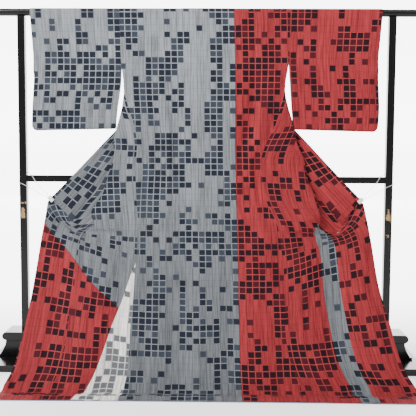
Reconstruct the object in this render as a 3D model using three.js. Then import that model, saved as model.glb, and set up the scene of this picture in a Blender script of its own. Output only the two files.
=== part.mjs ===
// Tsukesage kimono, seen from the back, on a lacquered kimono rack.
// The rod runs through both sleeves. The back hangs on the viewer's side of it, the fronts hang
// behind it and are opened out to both sides, and the hem sweeps forward onto the floor.
// Millimetres. +X to the viewer's right, +Y away from the viewer, +Z up.
import * as THREE from 'three';

// Rack
const ROD_RADIUS = 14;
const ROD_HEIGHT = 1345;
const ROD_HALF_LENGTH = 850;
const UPRIGHT_X = 702;
const UPRIGHT_SIDE = 28;
const CROSSBAR_HEIGHT = 715;
const CROSSBAR_TALL = 25;
const CROSSBAR_DEEP = 20;
const FOOT_DEPTH = 354;
const FOOT_WIDTH = 236;
const FOOT_BASE_TALL = 26;
const FOOT_BLOCK_TOP = 92;
const FOOT_CAP_TOP = 123;
const FOOT_BLOCK_DEPTH = 100;

// Cloth
const WALL = 2;
const SLEEVE_WALL = 1.6;
const SEAM_GAP = 0.3;
const SLEEVE_GAP = 0.8;
const SEAT_GAP = 0.5;
const BODY_LENGTH = 1600;
const BACK_WIDTH = 300;
const FRONT_WIDTH = 230;
const OKUMI_WIDTH = 155;
const OKUMI_TIP = 230;
const NECK_HALF = 90;
const COLLAR_WIDTH = 110;
const COLLAR_END = 810;
const SIDE_OPENING_END = 350;
const CLIP_ROW = 900;
const HEM_ROLL = 4;

// Sweep of the cloth: plumb from the rod, then leaning forward, a bend and a run on the floor
const DRAPE_RADIUS = ROD_RADIUS + SEAT_GAP + WALL / 2;
const LEAN_START = 850;
const LEAN_REACH = 384;
const LEAN_POWER = 1.5;
const BEND_START = 17;
const BEND_RADIUS = 35;
const FLOOR_RUN = 78;
const FLOOR_LIFT = WALL / 2 + 0.4;
const HEM_HUMP = 7;

const SIDES = { left: -1, right: 1 };

// Seams by height: centre back, side seams, and the two body edges of the armholes above 1030
const SEAM_X = [
  { height: 1362, centre: 0, left: -328, right: 317 },
  { height: 1264, centre: 3, left: -325, right: 315.5 },
  { height: 1166, centre: 6, left: -322, right: 314 },
  { height: 1100, centre: 7, left: -315, right: 304 },
  { height: 1038, centre: 8, left: -308, right: 296 },
  { height: 980, centre: 8, left: -292, right: 281 },
  { height: 921, centre: 9, left: -273, right: 264 },
  { height: 845, centre: 10, left: -262, right: 228 },
  { height: 790, centre: 11, left: -265, right: 212 },
  { height: 740, centre: 12, left: -267, right: 216 },
  { height: 640, centre: 14, left: -260, right: 231 },
  { height: 548, centre: 16, left: -251, right: 272 },
  { height: 447, centre: 19, left: -251, right: 287 },
  { height: 390, centre: 21, left: -255, right: 292 },
  { height: 274, centre: 24, left: -257, right: 293 },
  { height: 194, centre: 26, left: -262, right: 292 },
  { height: 115, centre: 28, left: -261, right: 302 },
  { height: 45, centre: 30, left: -265, right: 325 },
  { height: 17, centre: 31, left: -271, right: 340 },
];
const HEM_SPREAD = { centre: 1, left: -9, right: 12 };

// The opened fronts by row (distance from the shoulder): rolled fold, tuck at the okumi seam,
// and the seam to the collar, each as distance out from the centre
const LEFT_FRONT = [
  { row: 0, roll: 240, tuck: 90, seam: 90, seamHeight: 1360.5 },
  { row: 25, roll: 240, tuck: 91, seam: 91, seamHeight: 1345 },
  { row: 120, roll: 240, tuck: 95, seam: 95, seamHeight: 1262 },
  { row: 230, roll: 262, tuck: 115, seam: 115, seamHeight: 1150 },
  { row: 290, roll: 300, tuck: 112, seam: 138, seamHeight: 1096 },
  { row: 350, roll: 313, tuck: 122, seam: 172, seamHeight: 1042 },
  { row: 400, roll: 320, tuck: 146, seam: 206, seamHeight: 996 },
  { row: 450, roll: 333, tuck: 174, seam: 242, seamHeight: 948 },
  { row: 495, roll: 345, tuck: 196, seam: 272, seamHeight: 903 },
  { row: 540, roll: 352, tuck: 214, seam: 302, seamHeight: 856 },
  { row: 580, roll: 349, tuck: 226, seam: 328, seamHeight: 815 },
  { row: 620, roll: 358, tuck: 240, seam: 354, seamHeight: 772 },
  { row: 655, roll: 370, tuck: 258, seam: 380, seamHeight: 733 },
  { row: 690, roll: 379, tuck: 278, seam: 407, seamHeight: 692 },
  { row: 725, roll: 388, tuck: 302, seam: 434, seamHeight: 656 },
  { row: 760, roll: 408, tuck: 334, seam: 462, seamHeight: 621 },
  { row: 790, roll: 428, tuck: 362, seam: 490, seamHeight: 586 },
  { row: 810, roll: 432, tuck: 390, seam: 509.5, seamHeight: 559 },
  { row: 822, roll: 427, tuck: 401, seam: 517, seamHeight: 550 },
  { row: 835, roll: 420, tuck: 413, seam: 528, seamHeight: 562 },
  { row: 860, roll: 404, tuck: 436, seam: 552, seamHeight: 600 },
  { row: 880, roll: 388, tuck: 450, seam: 577, seamHeight: 628 },
  { row: 900, roll: 370, tuck: 462, seam: 602, seamHeight: 633 },
];
const RIGHT_FRONT = [
  { row: 0, roll: 240, tuck: 90, seam: 90, seamHeight: 1360.5 },
  { row: 25, roll: 240, tuck: 91, seam: 91, seamHeight: 1345 },
  { row: 120, roll: 240, tuck: 95, seam: 95, seamHeight: 1262 },
  { row: 230, roll: 262, tuck: 115, seam: 115, seamHeight: 1150 },
  { row: 290, roll: 290, tuck: 112, seam: 138, seamHeight: 1096 },
  { row: 350, roll: 303, tuck: 122, seam: 172, seamHeight: 1042 },
  { row: 400, roll: 315, tuck: 146, seam: 206, seamHeight: 996 },
  { row: 450, roll: 330, tuck: 178, seam: 242, seamHeight: 948 },
  { row: 495, roll: 339, tuck: 206, seam: 272, seamHeight: 903 },
  { row: 540, roll: 351, tuck: 234, seam: 302, seamHeight: 852 },
  { row: 580, roll: 370, tuck: 256, seam: 326, seamHeight: 808 },
  { row: 620, roll: 381, tuck: 272, seam: 350, seamHeight: 764 },
  { row: 655, roll: 386, tuck: 286, seam: 374, seamHeight: 723 },
  { row: 690, roll: 398, tuck: 304, seam: 406, seamHeight: 682 },
  { row: 725, roll: 412, tuck: 326, seam: 437, seamHeight: 648 },
  { row: 760, roll: 425, tuck: 350, seam: 468, seamHeight: 614 },
  { row: 790, roll: 433, tuck: 378, seam: 498, seamHeight: 578 },
  { row: 810, roll: 440, tuck: 404, seam: 520, seamHeight: 550 },
  { row: 822, roll: 435, tuck: 414, seam: 526, seamHeight: 540 },
  { row: 835, roll: 429, tuck: 425, seam: 536, seamHeight: 552 },
  { row: 860, roll: 415, tuck: 446, seam: 556, seamHeight: 592 },
  { row: 880, roll: 400, tuck: 457, seam: 577, seamHeight: 623 },
  { row: 900, roll: 384, tuck: 466, seam: 601, seamHeight: 630 },
];

// Depth of the same lines, shared by both sides. The two turns say how far the cloth is folded
// back at the rolled fold and at the tuck.
const FRONT_DEPTH = [
  { row: 120, edge: 15.5, roll: 16, tuck: 17, seam: 17, rollTurn: 0, tuckTurn: 0 },
  { row: 175, edge: 14.5, roll: 14, tuck: 15, seam: 15, rollTurn: 0, tuckTurn: 0.5 },
  { row: 230, edge: 8, roll: 9, tuck: 12, seam: 12, rollTurn: 0, tuckTurn: 1 },
  { row: 290, edge: -5, roll: 0, tuck: 6, seam: 15, rollTurn: 0.5, tuckTurn: 1 },
  { row: 350, edge: -16, roll: -6, tuck: 4, seam: 18, rollTurn: 1, tuckTurn: 1 },
  { row: 450, edge: -16, roll: -6, tuck: 6, seam: 18, rollTurn: 1, tuckTurn: 1 },
  { row: 540, edge: -16, roll: -9, tuck: 0, seam: 9, rollTurn: 1, tuckTurn: 1 },
  { row: 620, edge: -30, roll: -22, tuck: -13, seam: -6, rollTurn: 1, tuckTurn: 1 },
  { row: 655, edge: -38, roll: -31, tuck: -22, seam: -16, rollTurn: 1, tuckTurn: 1 },
  { row: 690, edge: -48, roll: -38, tuck: -28, seam: -21, rollTurn: 1, tuckTurn: 1 },
  { row: 760, edge: -70, roll: -56, tuck: -42, seam: -32, rollTurn: 1, tuckTurn: 1 },
  { row: 810, edge: -88, roll: -69, tuck: -53, seam: -37, rollTurn: 0.7, tuckTurn: 0.7 },
  { row: 835, edge: -98, roll: -76, tuck: -59, seam: -35, rollTurn: 0.3, tuckTurn: 0.3 },
  { row: 860, edge: -108, roll: -84, tuck: -66, seam: -31, rollTurn: 0, tuckTurn: 0 },
  { row: 880, edge: -116, roll: -91, tuck: -72, seam: -29, rollTurn: 0, tuckTurn: 0 },
  { row: 900, edge: -124, roll: -98, tuck: -78, seam: -33, rollTurn: 0, tuckTurn: 0 },
];

// The rows below the collar pass under its corner by a drop and then rise to the clip. A higher
// power keeps the rise closer to the outer edge.
const SWAG = [
  { row: 810, drop: 0, power: 24 },
  { row: 822, drop: 14, power: 24 },
  { row: 835, drop: 26, power: 20 },
  { row: 860, drop: 40, power: 14 },
  { row: 880, drop: 42, power: 10 },
  { row: 900, drop: 50, power: 7 },
  { row: 1030, drop: 50, power: 4 },
];
const SWAG_ROWS = 250;

// Free edge of the collar: a taut line from the neck, behind the rod, to the clip
const COLLAR_EDGE = [
  { row: 0, out: 60, depth: 18, height: 1263 },
  { row: 25, out: 61, depth: 22, height: 1248 },
  { row: 120, out: 84, depth: 38, height: 1174 },
  { row: 230, out: 162, depth: 40, height: 1094 },
  { row: 350, out: 252, depth: 33, height: 1000 },
  { row: 450, out: 324, depth: 22, height: 925 },
  { row: 540, out: 389, depth: 8, height: 857 },
  { row: 620, out: 446, depth: -6, height: 795 },
  { row: 690, out: 497, depth: -18, height: 740 },
  { row: 760, out: 548, depth: -29, height: 686 },
  { row: 810, out: 591, depth: -38, height: 641 },
];

// Outer edge of the okumi from the clip down to the floor
const OUTER_EDGE = {
  left: [
    { out: 602, depth: -33, height: 633 },
    { out: 609, depth: -67, height: 557 },
    { out: 616, depth: -100, height: 488 },
    { out: 621, depth: -137, height: 418 },
    { out: 630, depth: -209, height: 296 },
    { out: 643, depth: -284, height: 180 },
    { out: 652, depth: -326, height: 118 },
    { out: 666, depth: -366, height: 61 },
    { out: 688, depth: -394, height: 17 },
  ],
  right: [
    { out: 601, depth: -33, height: 630 },
    { out: 613, depth: -67, height: 560 },
    { out: 622, depth: -98, height: 492 },
    { out: 639, depth: -187, height: 331 },
    { out: 663, depth: -253, height: 228 },
    { out: 682, depth: -315, height: 135 },
    { out: 702, depth: -358, height: 72 },
    { out: 736, depth: -394, height: 17 },
  ],
};
const OUTER_HEM_SPREAD = { left: 28, right: 21 };

// Largest folds of the back: place as a share of the way from the centre to the side seam,
// depth towards the viewer, half width as a share, and the rows where they start and end
const BACK_FOLDS = {
  left: [
    { at: 0.57, depth: 10, half: 0.07, from: 260, to: 820 },
    { at: 0.7, depth: -9, half: 0.09, from: 300, to: 760 },
    { at: 0.88, depth: -8, half: 0.06, from: 420, to: 900 },
    { at: 0.3, depth: -5, half: 0.12, from: 500, to: 1250 },
    { at: 0.62, depth: 12, half: 0.2, from: 950, to: 1580 },
    { at: 0.2, depth: 9, half: 0.16, from: 1050, to: 1580 },
  ],
  right: [
    { at: 0.62, depth: -9, half: 0.09, from: 170, to: 640 },
    { at: 0.8, depth: 9, half: 0.1, from: 200, to: 820 },
    { at: 0.35, depth: 7, half: 0.12, from: 320, to: 900 },
    { at: 0.9, depth: -8, half: 0.06, from: 560, to: 940 },
    { at: 0.55, depth: 11, half: 0.2, from: 980, to: 1580 },
    { at: 0.18, depth: -7, half: 0.14, from: 1000, to: 1560 },
  ],
};

// Largest waves of the opened fronts: place as a share of the way from side seam to outer edge
const FRONT_FOLDS = {
  left: [
    { at: 0.16, depth: -9, half: 0.08, from: 900, to: 1590 },
    { at: 0.42, depth: 12, half: 0.13, from: 860, to: 1590 },
    { at: 0.75, depth: -10, half: 0.12, from: 880, to: 1580 },
  ],
  right: [
    { at: 0.2, depth: 9, half: 0.1, from: 900, to: 1590 },
    { at: 0.5, depth: -10, half: 0.12, from: 860, to: 1590 },
    { at: 0.78, depth: 10, half: 0.1, from: 880, to: 1580 },
  ],
};

// Sleeves by height: edge at the body and edge at the wrist, out from the centre
const SLEEVE_EDGES = {
  left: [
    { height: 1362, body: 328, wrist: 668 },
    { height: 1264, body: 325, wrist: 661 },
    { height: 1166, body: 322.5, wrist: 655 },
    { height: 1080, body: 325, wrist: 658 },
    { height: 980, body: 338, wrist: 665 },
    { height: 900, body: 344, wrist: 668 },
  ],
  right: [
    { height: 1362, body: 317, wrist: 664 },
    { height: 1264, body: 315.5, wrist: 657 },
    { height: 1166, body: 314.5, wrist: 650 },
    { height: 1080, body: 320, wrist: 655 },
    { height: 980, body: 327, wrist: 660 },
    { height: 900, body: 334, wrist: 656 },
  ],
};
const SLEEVE_BOTTOM = { atBody: 907, atWrist: 899 };
const SLEEVE_CORNER = 22;
const WRIST_OPENING = 230;
const WRIST_CLOSING = 40;

// Rows and columns of the cloth walls
const WRAP_ROWS = [0, 6.25, 12.5, 18.75, 25];
const UPPER_ROWS = [
  72, 120, 175, 230, 250, 290, 350, 400, 450, 495, 540, 580, 620, 655, 690,
  725, 760, 785, 810, 835, 860, 880, 900,
];
const LOWER_ROWS = [960, 1030, 1110, 1190, 1270, 1350, 1420, 1475];
const BACK_COLUMNS = 12;
const LEG_COLUMNS = 4;
const OKUMI_COLUMNS = 4;

function smooth(t) {
  const c = Math.min(1, Math.max(0, t));
  return c * c * (3 - 2 * c);
}

function mix(a, b, t) {
  return a + (b - a) * t;
}

// Reads a named column of a table at any key, on a smooth curve through its rows
function column(table, key, value, at) {
  const down = table[0][key] > table[table.length - 1][key];
  const rows = down ? [...table].reverse() : table;
  const last = rows.length - 1;
  if (at <= rows[0][key]) return rows[0][value];
  if (at >= rows[last][key]) return rows[last][value];
  let i = 0;
  while (rows[i + 1][key] < at) i += 1;
  const [a, b] = [rows[i], rows[i + 1]];
  const span = b[key] - a[key];
  const slope = (p, q) => (q[value] - p[value]) / (q[key] - p[key]);
  const here = slope(a, b);
  const limit = (m) => {
    if (m * here <= 0) return 0;
    return Math.sign(here) * Math.min(Math.abs(m), 2.5 * Math.abs(here));
  };
  const enter = i > 0 ? limit((slope(rows[i - 1], a) + here) / 2) : here;
  const leave = i + 1 < last ? limit((here + slope(b, rows[i + 2])) / 2) : here;
  const t = (at - a[key]) / span;
  const rest = 1 - t;
  return rest * rest * (1 + 2 * t) * a[value] + t * t * (3 - 2 * t) * b[value]
    + span * t * rest * (rest * enter - t * leave);
}

// Side view of the sweep, as points at equal share of the body length
function sweepPoints() {
  const points = [];
  const add = (y, z) => points.push(new THREE.Vector2(y, z));
  for (let i = 0; i <= 8; i += 1) {
    const a = (i / 8) * (Math.PI / 2);
    add(-DRAPE_RADIUS * Math.sin(a), ROD_HEIGHT + DRAPE_RADIUS * Math.cos(a));
  }
  for (let i = 1; i <= 20; i += 1) add(-DRAPE_RADIUS, mix(ROD_HEIGHT, LEAN_START, i / 20));
  const lean = (z) => -DRAPE_RADIUS - LEAN_REACH * ((LEAN_START - z) / LEAN_START) ** LEAN_POWER;
  for (let i = 1; i <= 60; i += 1) {
    const z = mix(LEAN_START, BEND_START, i / 60);
    add(lean(z), z);
  }
  const before = points[points.length - 2];
  const start = points[points.length - 1];
  const slant = Math.atan2(before.x - start.x, before.y - start.y);
  const centre = new THREE.Vector2(
    start.x - BEND_RADIUS * Math.cos(slant),
    start.y + BEND_RADIUS * Math.sin(slant),
  );
  const drop = start.y - FLOOR_LIFT;
  const scale = drop / (BEND_RADIUS * (1 - Math.sin(slant)));
  for (let i = 1; i <= 10; i += 1) {
    const a = mix(slant, Math.PI / 2, i / 10);
    const y = centre.x + BEND_RADIUS * Math.cos(a);
    const z = start.y - (Math.sin(a) - Math.sin(slant)) * BEND_RADIUS * scale;
    add(y, z);
  }
  const end = points[points.length - 1];
  for (let i = 1; i <= 16; i += 1) {
    const t = i / 16;
    add(end.x - FLOOR_RUN * t, FLOOR_LIFT + HEM_HUMP * Math.sin(Math.PI * t) ** 2 * smooth(t * 2));
  }
  return points;
}

const SWEEP = sweepPoints();
const SWEEP_LENGTHS = SWEEP.reduce((sums, p, i) => {
  sums.push(i === 0 ? 0 : sums[i - 1] + p.distanceTo(SWEEP[i - 1]));
  return sums;
}, []);
const SWEEP_TOTAL = SWEEP_LENGTHS[SWEEP_LENGTHS.length - 1];
const ROW_SCALE = SWEEP_TOTAL / BODY_LENGTH;
const WRAP_LENGTH = DRAPE_RADIUS * (Math.PI / 2);

// Depth and height of a row on the sweep
function sweep(row) {
  const length = Math.min(SWEEP_TOTAL + HEM_ROLL, row * ROW_SCALE);
  let i = 1;
  while (i < SWEEP.length - 1 && SWEEP_LENGTHS[i] < length) i += 1;
  const t = (length - SWEEP_LENGTHS[i - 1]) / (SWEEP_LENGTHS[i] - SWEEP_LENGTHS[i - 1]);
  return { y: mix(SWEEP[i - 1].x, SWEEP[i].x, t), z: mix(SWEEP[i - 1].y, SWEEP[i].y, t) };
}

function rowAtHeight(height) {
  let low = 0;
  let high = BODY_LENGTH;
  for (let i = 0; i < 40; i += 1) {
    const middle = (low + high) / 2;
    if (sweep(middle).z > height) low = middle;
    else high = middle;
  }
  return low;
}

const WRAP_ROW = WRAP_LENGTH / ROW_SCALE;
const BEND_ROW = rowAtHeight(BEND_START);
const BEND_END_ROW = BODY_LENGTH - (SWEEP_TOTAL - SWEEP_LENGTHS[SWEEP.length - 17]) / ROW_SCALE;

function floorRows() {
  const rows = [];
  for (let i = 0; i <= 3; i += 1) rows.push(mix(BEND_ROW, BEND_END_ROW, i / 3));
  for (let i = 1; i <= 4; i += 1) rows.push(mix(BEND_END_ROW, BODY_LENGTH, i / 4));
  return rows;
}

const ROWS = [
  ...WRAP_ROWS.map((row) => (row * WRAP_ROW) / 25),
  ...UPPER_ROWS,
  ...LOWER_ROWS,
  ...floorRows(),
];

// Bumps of a fold table at a share of the width and a row
function folds(table, share, row) {
  return table.reduce((sum, f) => {
    const across = Math.exp(-(((share - f.at) / f.half) ** 2));
    const fade = Math.min(160, (f.to - f.from) / 3);
    const along = smooth((row - f.from) / fade) * smooth((f.to - row) / fade);
    return sum + f.depth * across * along;
  }, 0);
}

function spreadAt(row, spread) {
  return spread * smooth((row - BEND_ROW) / (BODY_LENGTH - BEND_ROW));
}

function seamAt(name, row) {
  const height = sweep(Math.min(row, BEND_ROW)).z;
  return column(SEAM_X, 'height', name, height) + spreadAt(row, HEM_SPREAD[name]);
}

function backPoint(side, share, row) {
  const { y, z } = sweep(row);
  const centre = seamAt('centre', row);
  const x = mix(centre, seamAt(side, row), share);
  const inner = smooth(share / 0.12) * smooth((1 - share) / 0.06);
  const depth = folds(BACK_FOLDS[side], share, row) * inner;
  return new THREE.Vector3(x, y - depth, z + (row > BEND_ROW ? Math.abs(depth) * 0.25 : 0));
}

const OUTER_CURVES = Object.fromEntries(Object.entries(OUTER_EDGE).map(([side, rows]) => {
  const points = rows.map((r) => new THREE.Vector3(SIDES[side] * r.out, r.depth, r.height));
  return [side, new THREE.CatmullRomCurve3(points, false, 'centripetal')];
}));

// Seam to the collar, and below the clip the okumi's free edge
function frontEdge(side, row) {
  const sign = SIDES[side];
  if (row <= WRAP_ROW) {
    const { y, z } = sweep(row);
    const out = column(side === 'left' ? LEFT_FRONT : RIGHT_FRONT, 'row', 'seam', row);
    return new THREE.Vector3(sign * out, -y, z);
  }
  if (row <= CLIP_ROW) {
    const table = side === 'left' ? LEFT_FRONT : RIGHT_FRONT;
    const depth = row < 120
      ? mix(DRAPE_RADIUS, FRONT_DEPTH[0].seam, smooth((row - WRAP_ROW) / (120 - WRAP_ROW)))
      : column(FRONT_DEPTH, 'row', 'seam', row);
    return new THREE.Vector3(
      sign * column(table, 'row', 'seam', row),
      depth,
      column(table, 'row', 'seamHeight', row),
    );
  }
  if (row <= BEND_ROW) {
    return OUTER_CURVES[side].getPointAt((row - CLIP_ROW) / (BEND_ROW - CLIP_ROW));
  }
  const start = OUTER_CURVES[side].getPointAt(1);
  const from = sweep(BEND_ROW);
  const { y, z } = sweep(row);
  return new THREE.Vector3(
    start.x + sign * spreadAt(row, OUTER_HEM_SPREAD[side]),
    start.y + y - from.y,
    z + start.z - BEND_START,
  );
}

function frontSideEdge(side, row) {
  const x = seamAt(side, row);
  const { y, z } = sweep(row);
  if (row <= WRAP_ROW) return new THREE.Vector3(x, -y, z);
  if (row < SIDE_OPENING_END) {
    const depth = row < 120 ? DRAPE_RADIUS : column(FRONT_DEPTH, 'row', 'edge', row);
    return new THREE.Vector3(x, Math.max(depth, y), z);
  }
  return new THREE.Vector3(x, y, z);
}

// Width of the front with its okumi at a row
function frontWidth(row) {
  const grown = Math.min(1, Math.max(0, (row - OKUMI_TIP) / (COLLAR_END - OKUMI_TIP)));
  return FRONT_WIDTH + OKUMI_WIDTH * grown;
}

function bezier(p0, p1, p2, p3, t) {
  return new THREE.CubicBezierCurve3(p0, p1, p2, p3).getPoint(t);
}

// Height of the cloth below the collar, where it hangs from the clip
function hangingHeight(table, from, to, share, row) {
  const corner = column(table, 'row', 'seamHeight', Math.min(row, COLLAR_END));
  const low = corner - column(SWAG, 'row', 'drop', row);
  const under = mix(low, to, smooth((row - CLIP_ROW) / SWAG_ROWS));
  return mix(from, under, share) + (to - under) * share ** column(SWAG, 'row', 'power', row);
}

// One row of an opened front. Leg 0 runs from the side seam to the rolled fold, leg 1 on to the
// tuck at the okumi seam, leg 2 on to the outer edge; t is the share of the leg.
function frontPoint(side, leg, t, row) {
  const sign = SIDES[side];
  const edge = frontSideEdge(side, row);
  const seam = frontEdge(side, row);
  const tuckShare = FRONT_WIDTH / frontWidth(row);
  const rollShare = 0.45 * tuckShare;
  const table = side === 'left' ? LEFT_FRONT : RIGHT_FRONT;
  const blend = smooth((row - 120) / 110) * (1 - smooth((row - 860) / 40));
  const turnAt = (name) => (row > 120 && row < 900 ? column(FRONT_DEPTH, 'row', name, row) : 0);
  const place = (share, name) => {
    const flat = edge.clone().lerp(seam, share);
    const folded = new THREE.Vector3(
      sign * column(table, 'row', name, row),
      column(FRONT_DEPTH, 'row', name, row),
      flat.z,
    );
    return flat.lerp(folded, blend);
  };
  const roll = place(rollShare, 'roll');
  const tuck = row <= OKUMI_TIP ? seam.clone() : place(tuckShare, 'tuck');
  const line = seam.clone().sub(edge);
  const rearward = new THREE.Vector3(0, 1, 0);
  const reach = (a, b) => a.distanceTo(b) / 3;
  const handle = (a, b, radius) => {
    const rounded = Math.sqrt(Math.abs(a.x - b.x) * radius * (2 / 3));
    return Math.min(reach(a, b), rounded);
  };
  const through = line.clone().normalize();
  const rounding = 3;
  const legs = [[edge, roll], [roll, tuck], [tuck, seam]];
  const [from, to] = legs[leg];
  const short = handle(from, to, rounding);
  const long = reach(from, to);
  const turned = (name) => {
    const turn = turnAt(name);
    return through.clone().lerp(rearward, turn).normalize().multiplyScalar(mix(long, short, turn));
  };
  const outOfSeam = smooth((row - 200) / 150);
  const leaving = [
    () => through.clone().lerp(new THREE.Vector3(sign, 0, 0), outOfSeam).multiplyScalar(long),
    () => turned('rollTurn'),
    () => turned('tuckTurn'),
  ][leg]();
  const arriving = [
    () => turned('rollTurn'),
    () => turned('tuckTurn'),
    () => new THREE.Vector3().subVectors(to, from).multiplyScalar(1 / 3),
  ][leg]();
  const point = bezier(from, from.clone().add(leaving), to.clone().sub(arriving), to, t);
  const share = [
    rollShare * t,
    mix(rollShare, tuckShare, t),
    mix(tuckShare, 1, t),
  ][leg];
  const hanging = hangingHeight(table, edge.z, seam.z, share, row);
  point.z = mix(point.z, hanging, smooth((row - 790) / 30));
  const inner = smooth(share / 0.12) * smooth((1 - share) / 0.08);
  const depth = folds(FRONT_FOLDS[side], share, row) * inner;
  point.y -= depth;
  if (row > BEND_ROW) point.z += Math.abs(depth) * 0.25;
  return point;
}

// Collar: from its seam to its free edge. Above the shoulder rows it follows the neck, where
// the row is negative and counts the way round the neck to the centre back.
function collarPoint(side, share, row) {
  const sign = SIDES[side];
  if (row < 0) {
    const along = (row + NECK_HALF) / NECK_HALF;
    const x = sign * (NECK_HALF - SEAM_GAP) * along;
    const free = new THREE.Vector3(x * 0.67, 18, mix(1259, 1263, along));
    return wrapped(x, 0, free, share);
  }
  const free = new THREE.Vector3(
    sign * column(COLLAR_EDGE, 'row', 'out', row),
    column(COLLAR_EDGE, 'row', 'depth', row),
    column(COLLAR_EDGE, 'row', 'height', row),
  );
  const seam = frontEdge(side, row);
  if (row < WRAP_ROW) return wrapped(seam.x - sign * 2 * SEAM_GAP, row, free, share);
  const away = seamTangent(side, row);
  const ease = 0.7 * (1 - smooth((row - 25) / 60)) + 0.5 * smooth((row - 770) / 40);
  const start = seam.clone().addScaledVector(away, HALF_GAP + ease);
  const over = smooth((row - 60) / 60) * (1 - smooth((row - 236) / 50));
  const rise = Math.min(1, share / 0.05) * (1 - share) * over;
  const point = start.lerp(free, share).addScaledVector(away, 4 * rise);
  point.y += 2 * rise;
  point.y -= 4 * smooth((row - 735) / 75) * smooth(share / 0.12);
  point.z += smooth((row - 785) / 25) * mix(1.9, 3, smooth(share / 0.12));
  return point;
}

// Direction in which the cloth leaves the front, or its okumi, at the collar seam
function seamTangent(side, row) {
  const surface = frontSurface(side);
  const u = row <= OKUMI_TIP ? 2 : 3;
  return surface(u, row).sub(surface(u - 0.01, row)).normalize();
}

function seamNormal(side, row) {
  return normalAt(frontSurface(side), row <= OKUMI_TIP ? 2 : 3, row, 0.01, 2);
}

// A strip that follows the rod's crest round to its rear and then hangs to its free edge
function wrapped(x, row, free, share) {
  const radius = DRAPE_RADIUS + 1;
  const left = (WRAP_ROW - row) * ROW_SCALE;
  const down = share * COLLAR_WIDTH;
  if (down <= left) {
    const a = (row * ROW_SCALE + down + SEAM_GAP) / DRAPE_RADIUS;
    const drift = mix(x, free.x, (down / COLLAR_WIDTH) * 0.4);
    const turn = Math.min(a, Math.PI / 2);
    return new THREE.Vector3(drift, radius * Math.sin(turn), ROD_HEIGHT + radius * Math.cos(turn));
  }
  const drift = mix(x, free.x, (left / COLLAR_WIDTH) * 0.4);
  const start = new THREE.Vector3(drift, radius, ROD_HEIGHT);
  return start.lerp(free, (down - left) / (COLLAR_WIDTH - left));
}

// Normal of a surface by differences on both sides of the point
function normalAt(surface, u, v, stepU, stepV) {
  const across = surface(u + stepU, v).sub(surface(u - stepU, v));
  const along = surface(u, v + stepV).sub(surface(u, v - stepV));
  return across.cross(along).normalize();
}

// Closed wall of a given thickness through a grid of surface points
function wallFromGrid(points, normals, thickness, closed = false) {
  const rows = points.length;
  const columns = points[0].length;
  const vertices = [];
  const half = thickness / 2;
  for (const sign of [1, -1]) {
    for (let i = 0; i < rows; i += 1) {
      for (let j = 0; j < columns; j += 1) {
        const p = points[i][j].clone().addScaledVector(normals[i][j], sign * half);
        vertices.push(p.x, p.y, p.z);
      }
    }
  }
  const count = rows * columns;
  const index = [];
  const at = (layer, i, j) => layer * count + i * columns + (j % columns);
  const quad = (a, b, c, d, turned = false) => {
    if (turned) index.push(a, b, d, b, c, d);
    else index.push(a, b, c, a, c, d);
  };
  const spans = closed ? columns : columns - 1;
  for (let i = 0; i < rows - 1; i += 1) {
    for (let j = 0; j < spans; j += 1) {
      const next = (j + 1) % columns;
      const straight = points[i][j].distanceTo(points[i + 1][next]);
      const turned = points[i][next].distanceTo(points[i + 1][j]) < straight;
      quad(at(0, i, j), at(0, i, j + 1), at(0, i + 1, j + 1), at(0, i + 1, j), turned);
      quad(at(1, i, j), at(1, i + 1, j), at(1, i + 1, j + 1), at(1, i, j + 1), turned);
    }
  }
  for (let j = 0; j < spans; j += 1) {
    quad(at(0, 0, j), at(1, 0, j), at(1, 0, j + 1), at(0, 0, j + 1));
    const end = rows - 1;
    quad(at(0, end, j), at(0, end, j + 1), at(1, end, j + 1), at(1, end, j));
  }
  if (!closed) {
    for (let i = 0; i < rows - 1; i += 1) {
      quad(at(0, i, 0), at(0, i + 1, 0), at(1, i + 1, 0), at(1, i, 0));
      const end = columns - 1;
      quad(at(0, i, end), at(1, i, end), at(1, i + 1, end), at(0, i + 1, end));
    }
  }
  return closedGeometry(vertices, index);
}

// Geometry with its faces turned outward
function closedGeometry(vertices, index) {
  let volume = 0;
  const p = (i) => new THREE.Vector3(vertices[3 * i], vertices[3 * i + 1], vertices[3 * i + 2]);
  for (let i = 0; i < index.length; i += 3) {
    volume += p(index[i]).dot(p(index[i + 1]).cross(p(index[i + 2])));
  }
  const faces = volume > 0 ? index : [...index].reverse();
  const geometry = new THREE.BufferGeometry();
  geometry.setAttribute('position', new THREE.Float32BufferAttribute(vertices, 3));
  geometry.setIndex(faces);
  geometry.computeVertexNormals();
  return geometry;
}

function material(color, roughness, metalness = 0) {
  return new THREE.MeshStandardMaterial({ color, roughness, metalness });
}

const FINISHES = {
  grayCloth: { color: 0x80848a, roughness: 0.85 },
  redCloth: { color: 0xb4322e, roughness: 0.85 },
  lining: { color: 0x8a8fa8, roughness: 0.8 },
  lacquer: { color: 0x0c0b0b, roughness: 0.25 },
  clip: { color: 0xf0efe8, roughness: 0.4 },
  thread: { color: 0xf4f2ec, roughness: 0.8 },
};

function named(name, geometry, finish) {
  const { color, roughness } = FINISHES[finish];
  const mesh = new THREE.Mesh(geometry, material(color, roughness));
  mesh.name = name;
  return mesh;
}

const HALF_GAP = SEAM_GAP / 2;

// Wall over a grid of columns and rows. A column at a seam is held back from it by half a gap.
function clothPiece(surface, columns, rows, thickness, step) {
  const tangent = (u, row) => surface(u + step, row).sub(surface(u - step, row)).normalize();
  const points = rows.map((row) => columns.map(({ u, hold = 0 }) => (
    hold === 0 ? surface(u, row) : surface(u, row).addScaledVector(tangent(u, row), hold)
  )));
  const normals = rows.map((row) => columns.map(({ u }) => normalAt(surface, u, row, step, 2)));
  return wallFromGrid(points, normals, thickness);
}

function range(from, to, steps) {
  return Array.from({ length: steps + 1 }, (_, i) => mix(from, to, i / steps));
}

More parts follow.
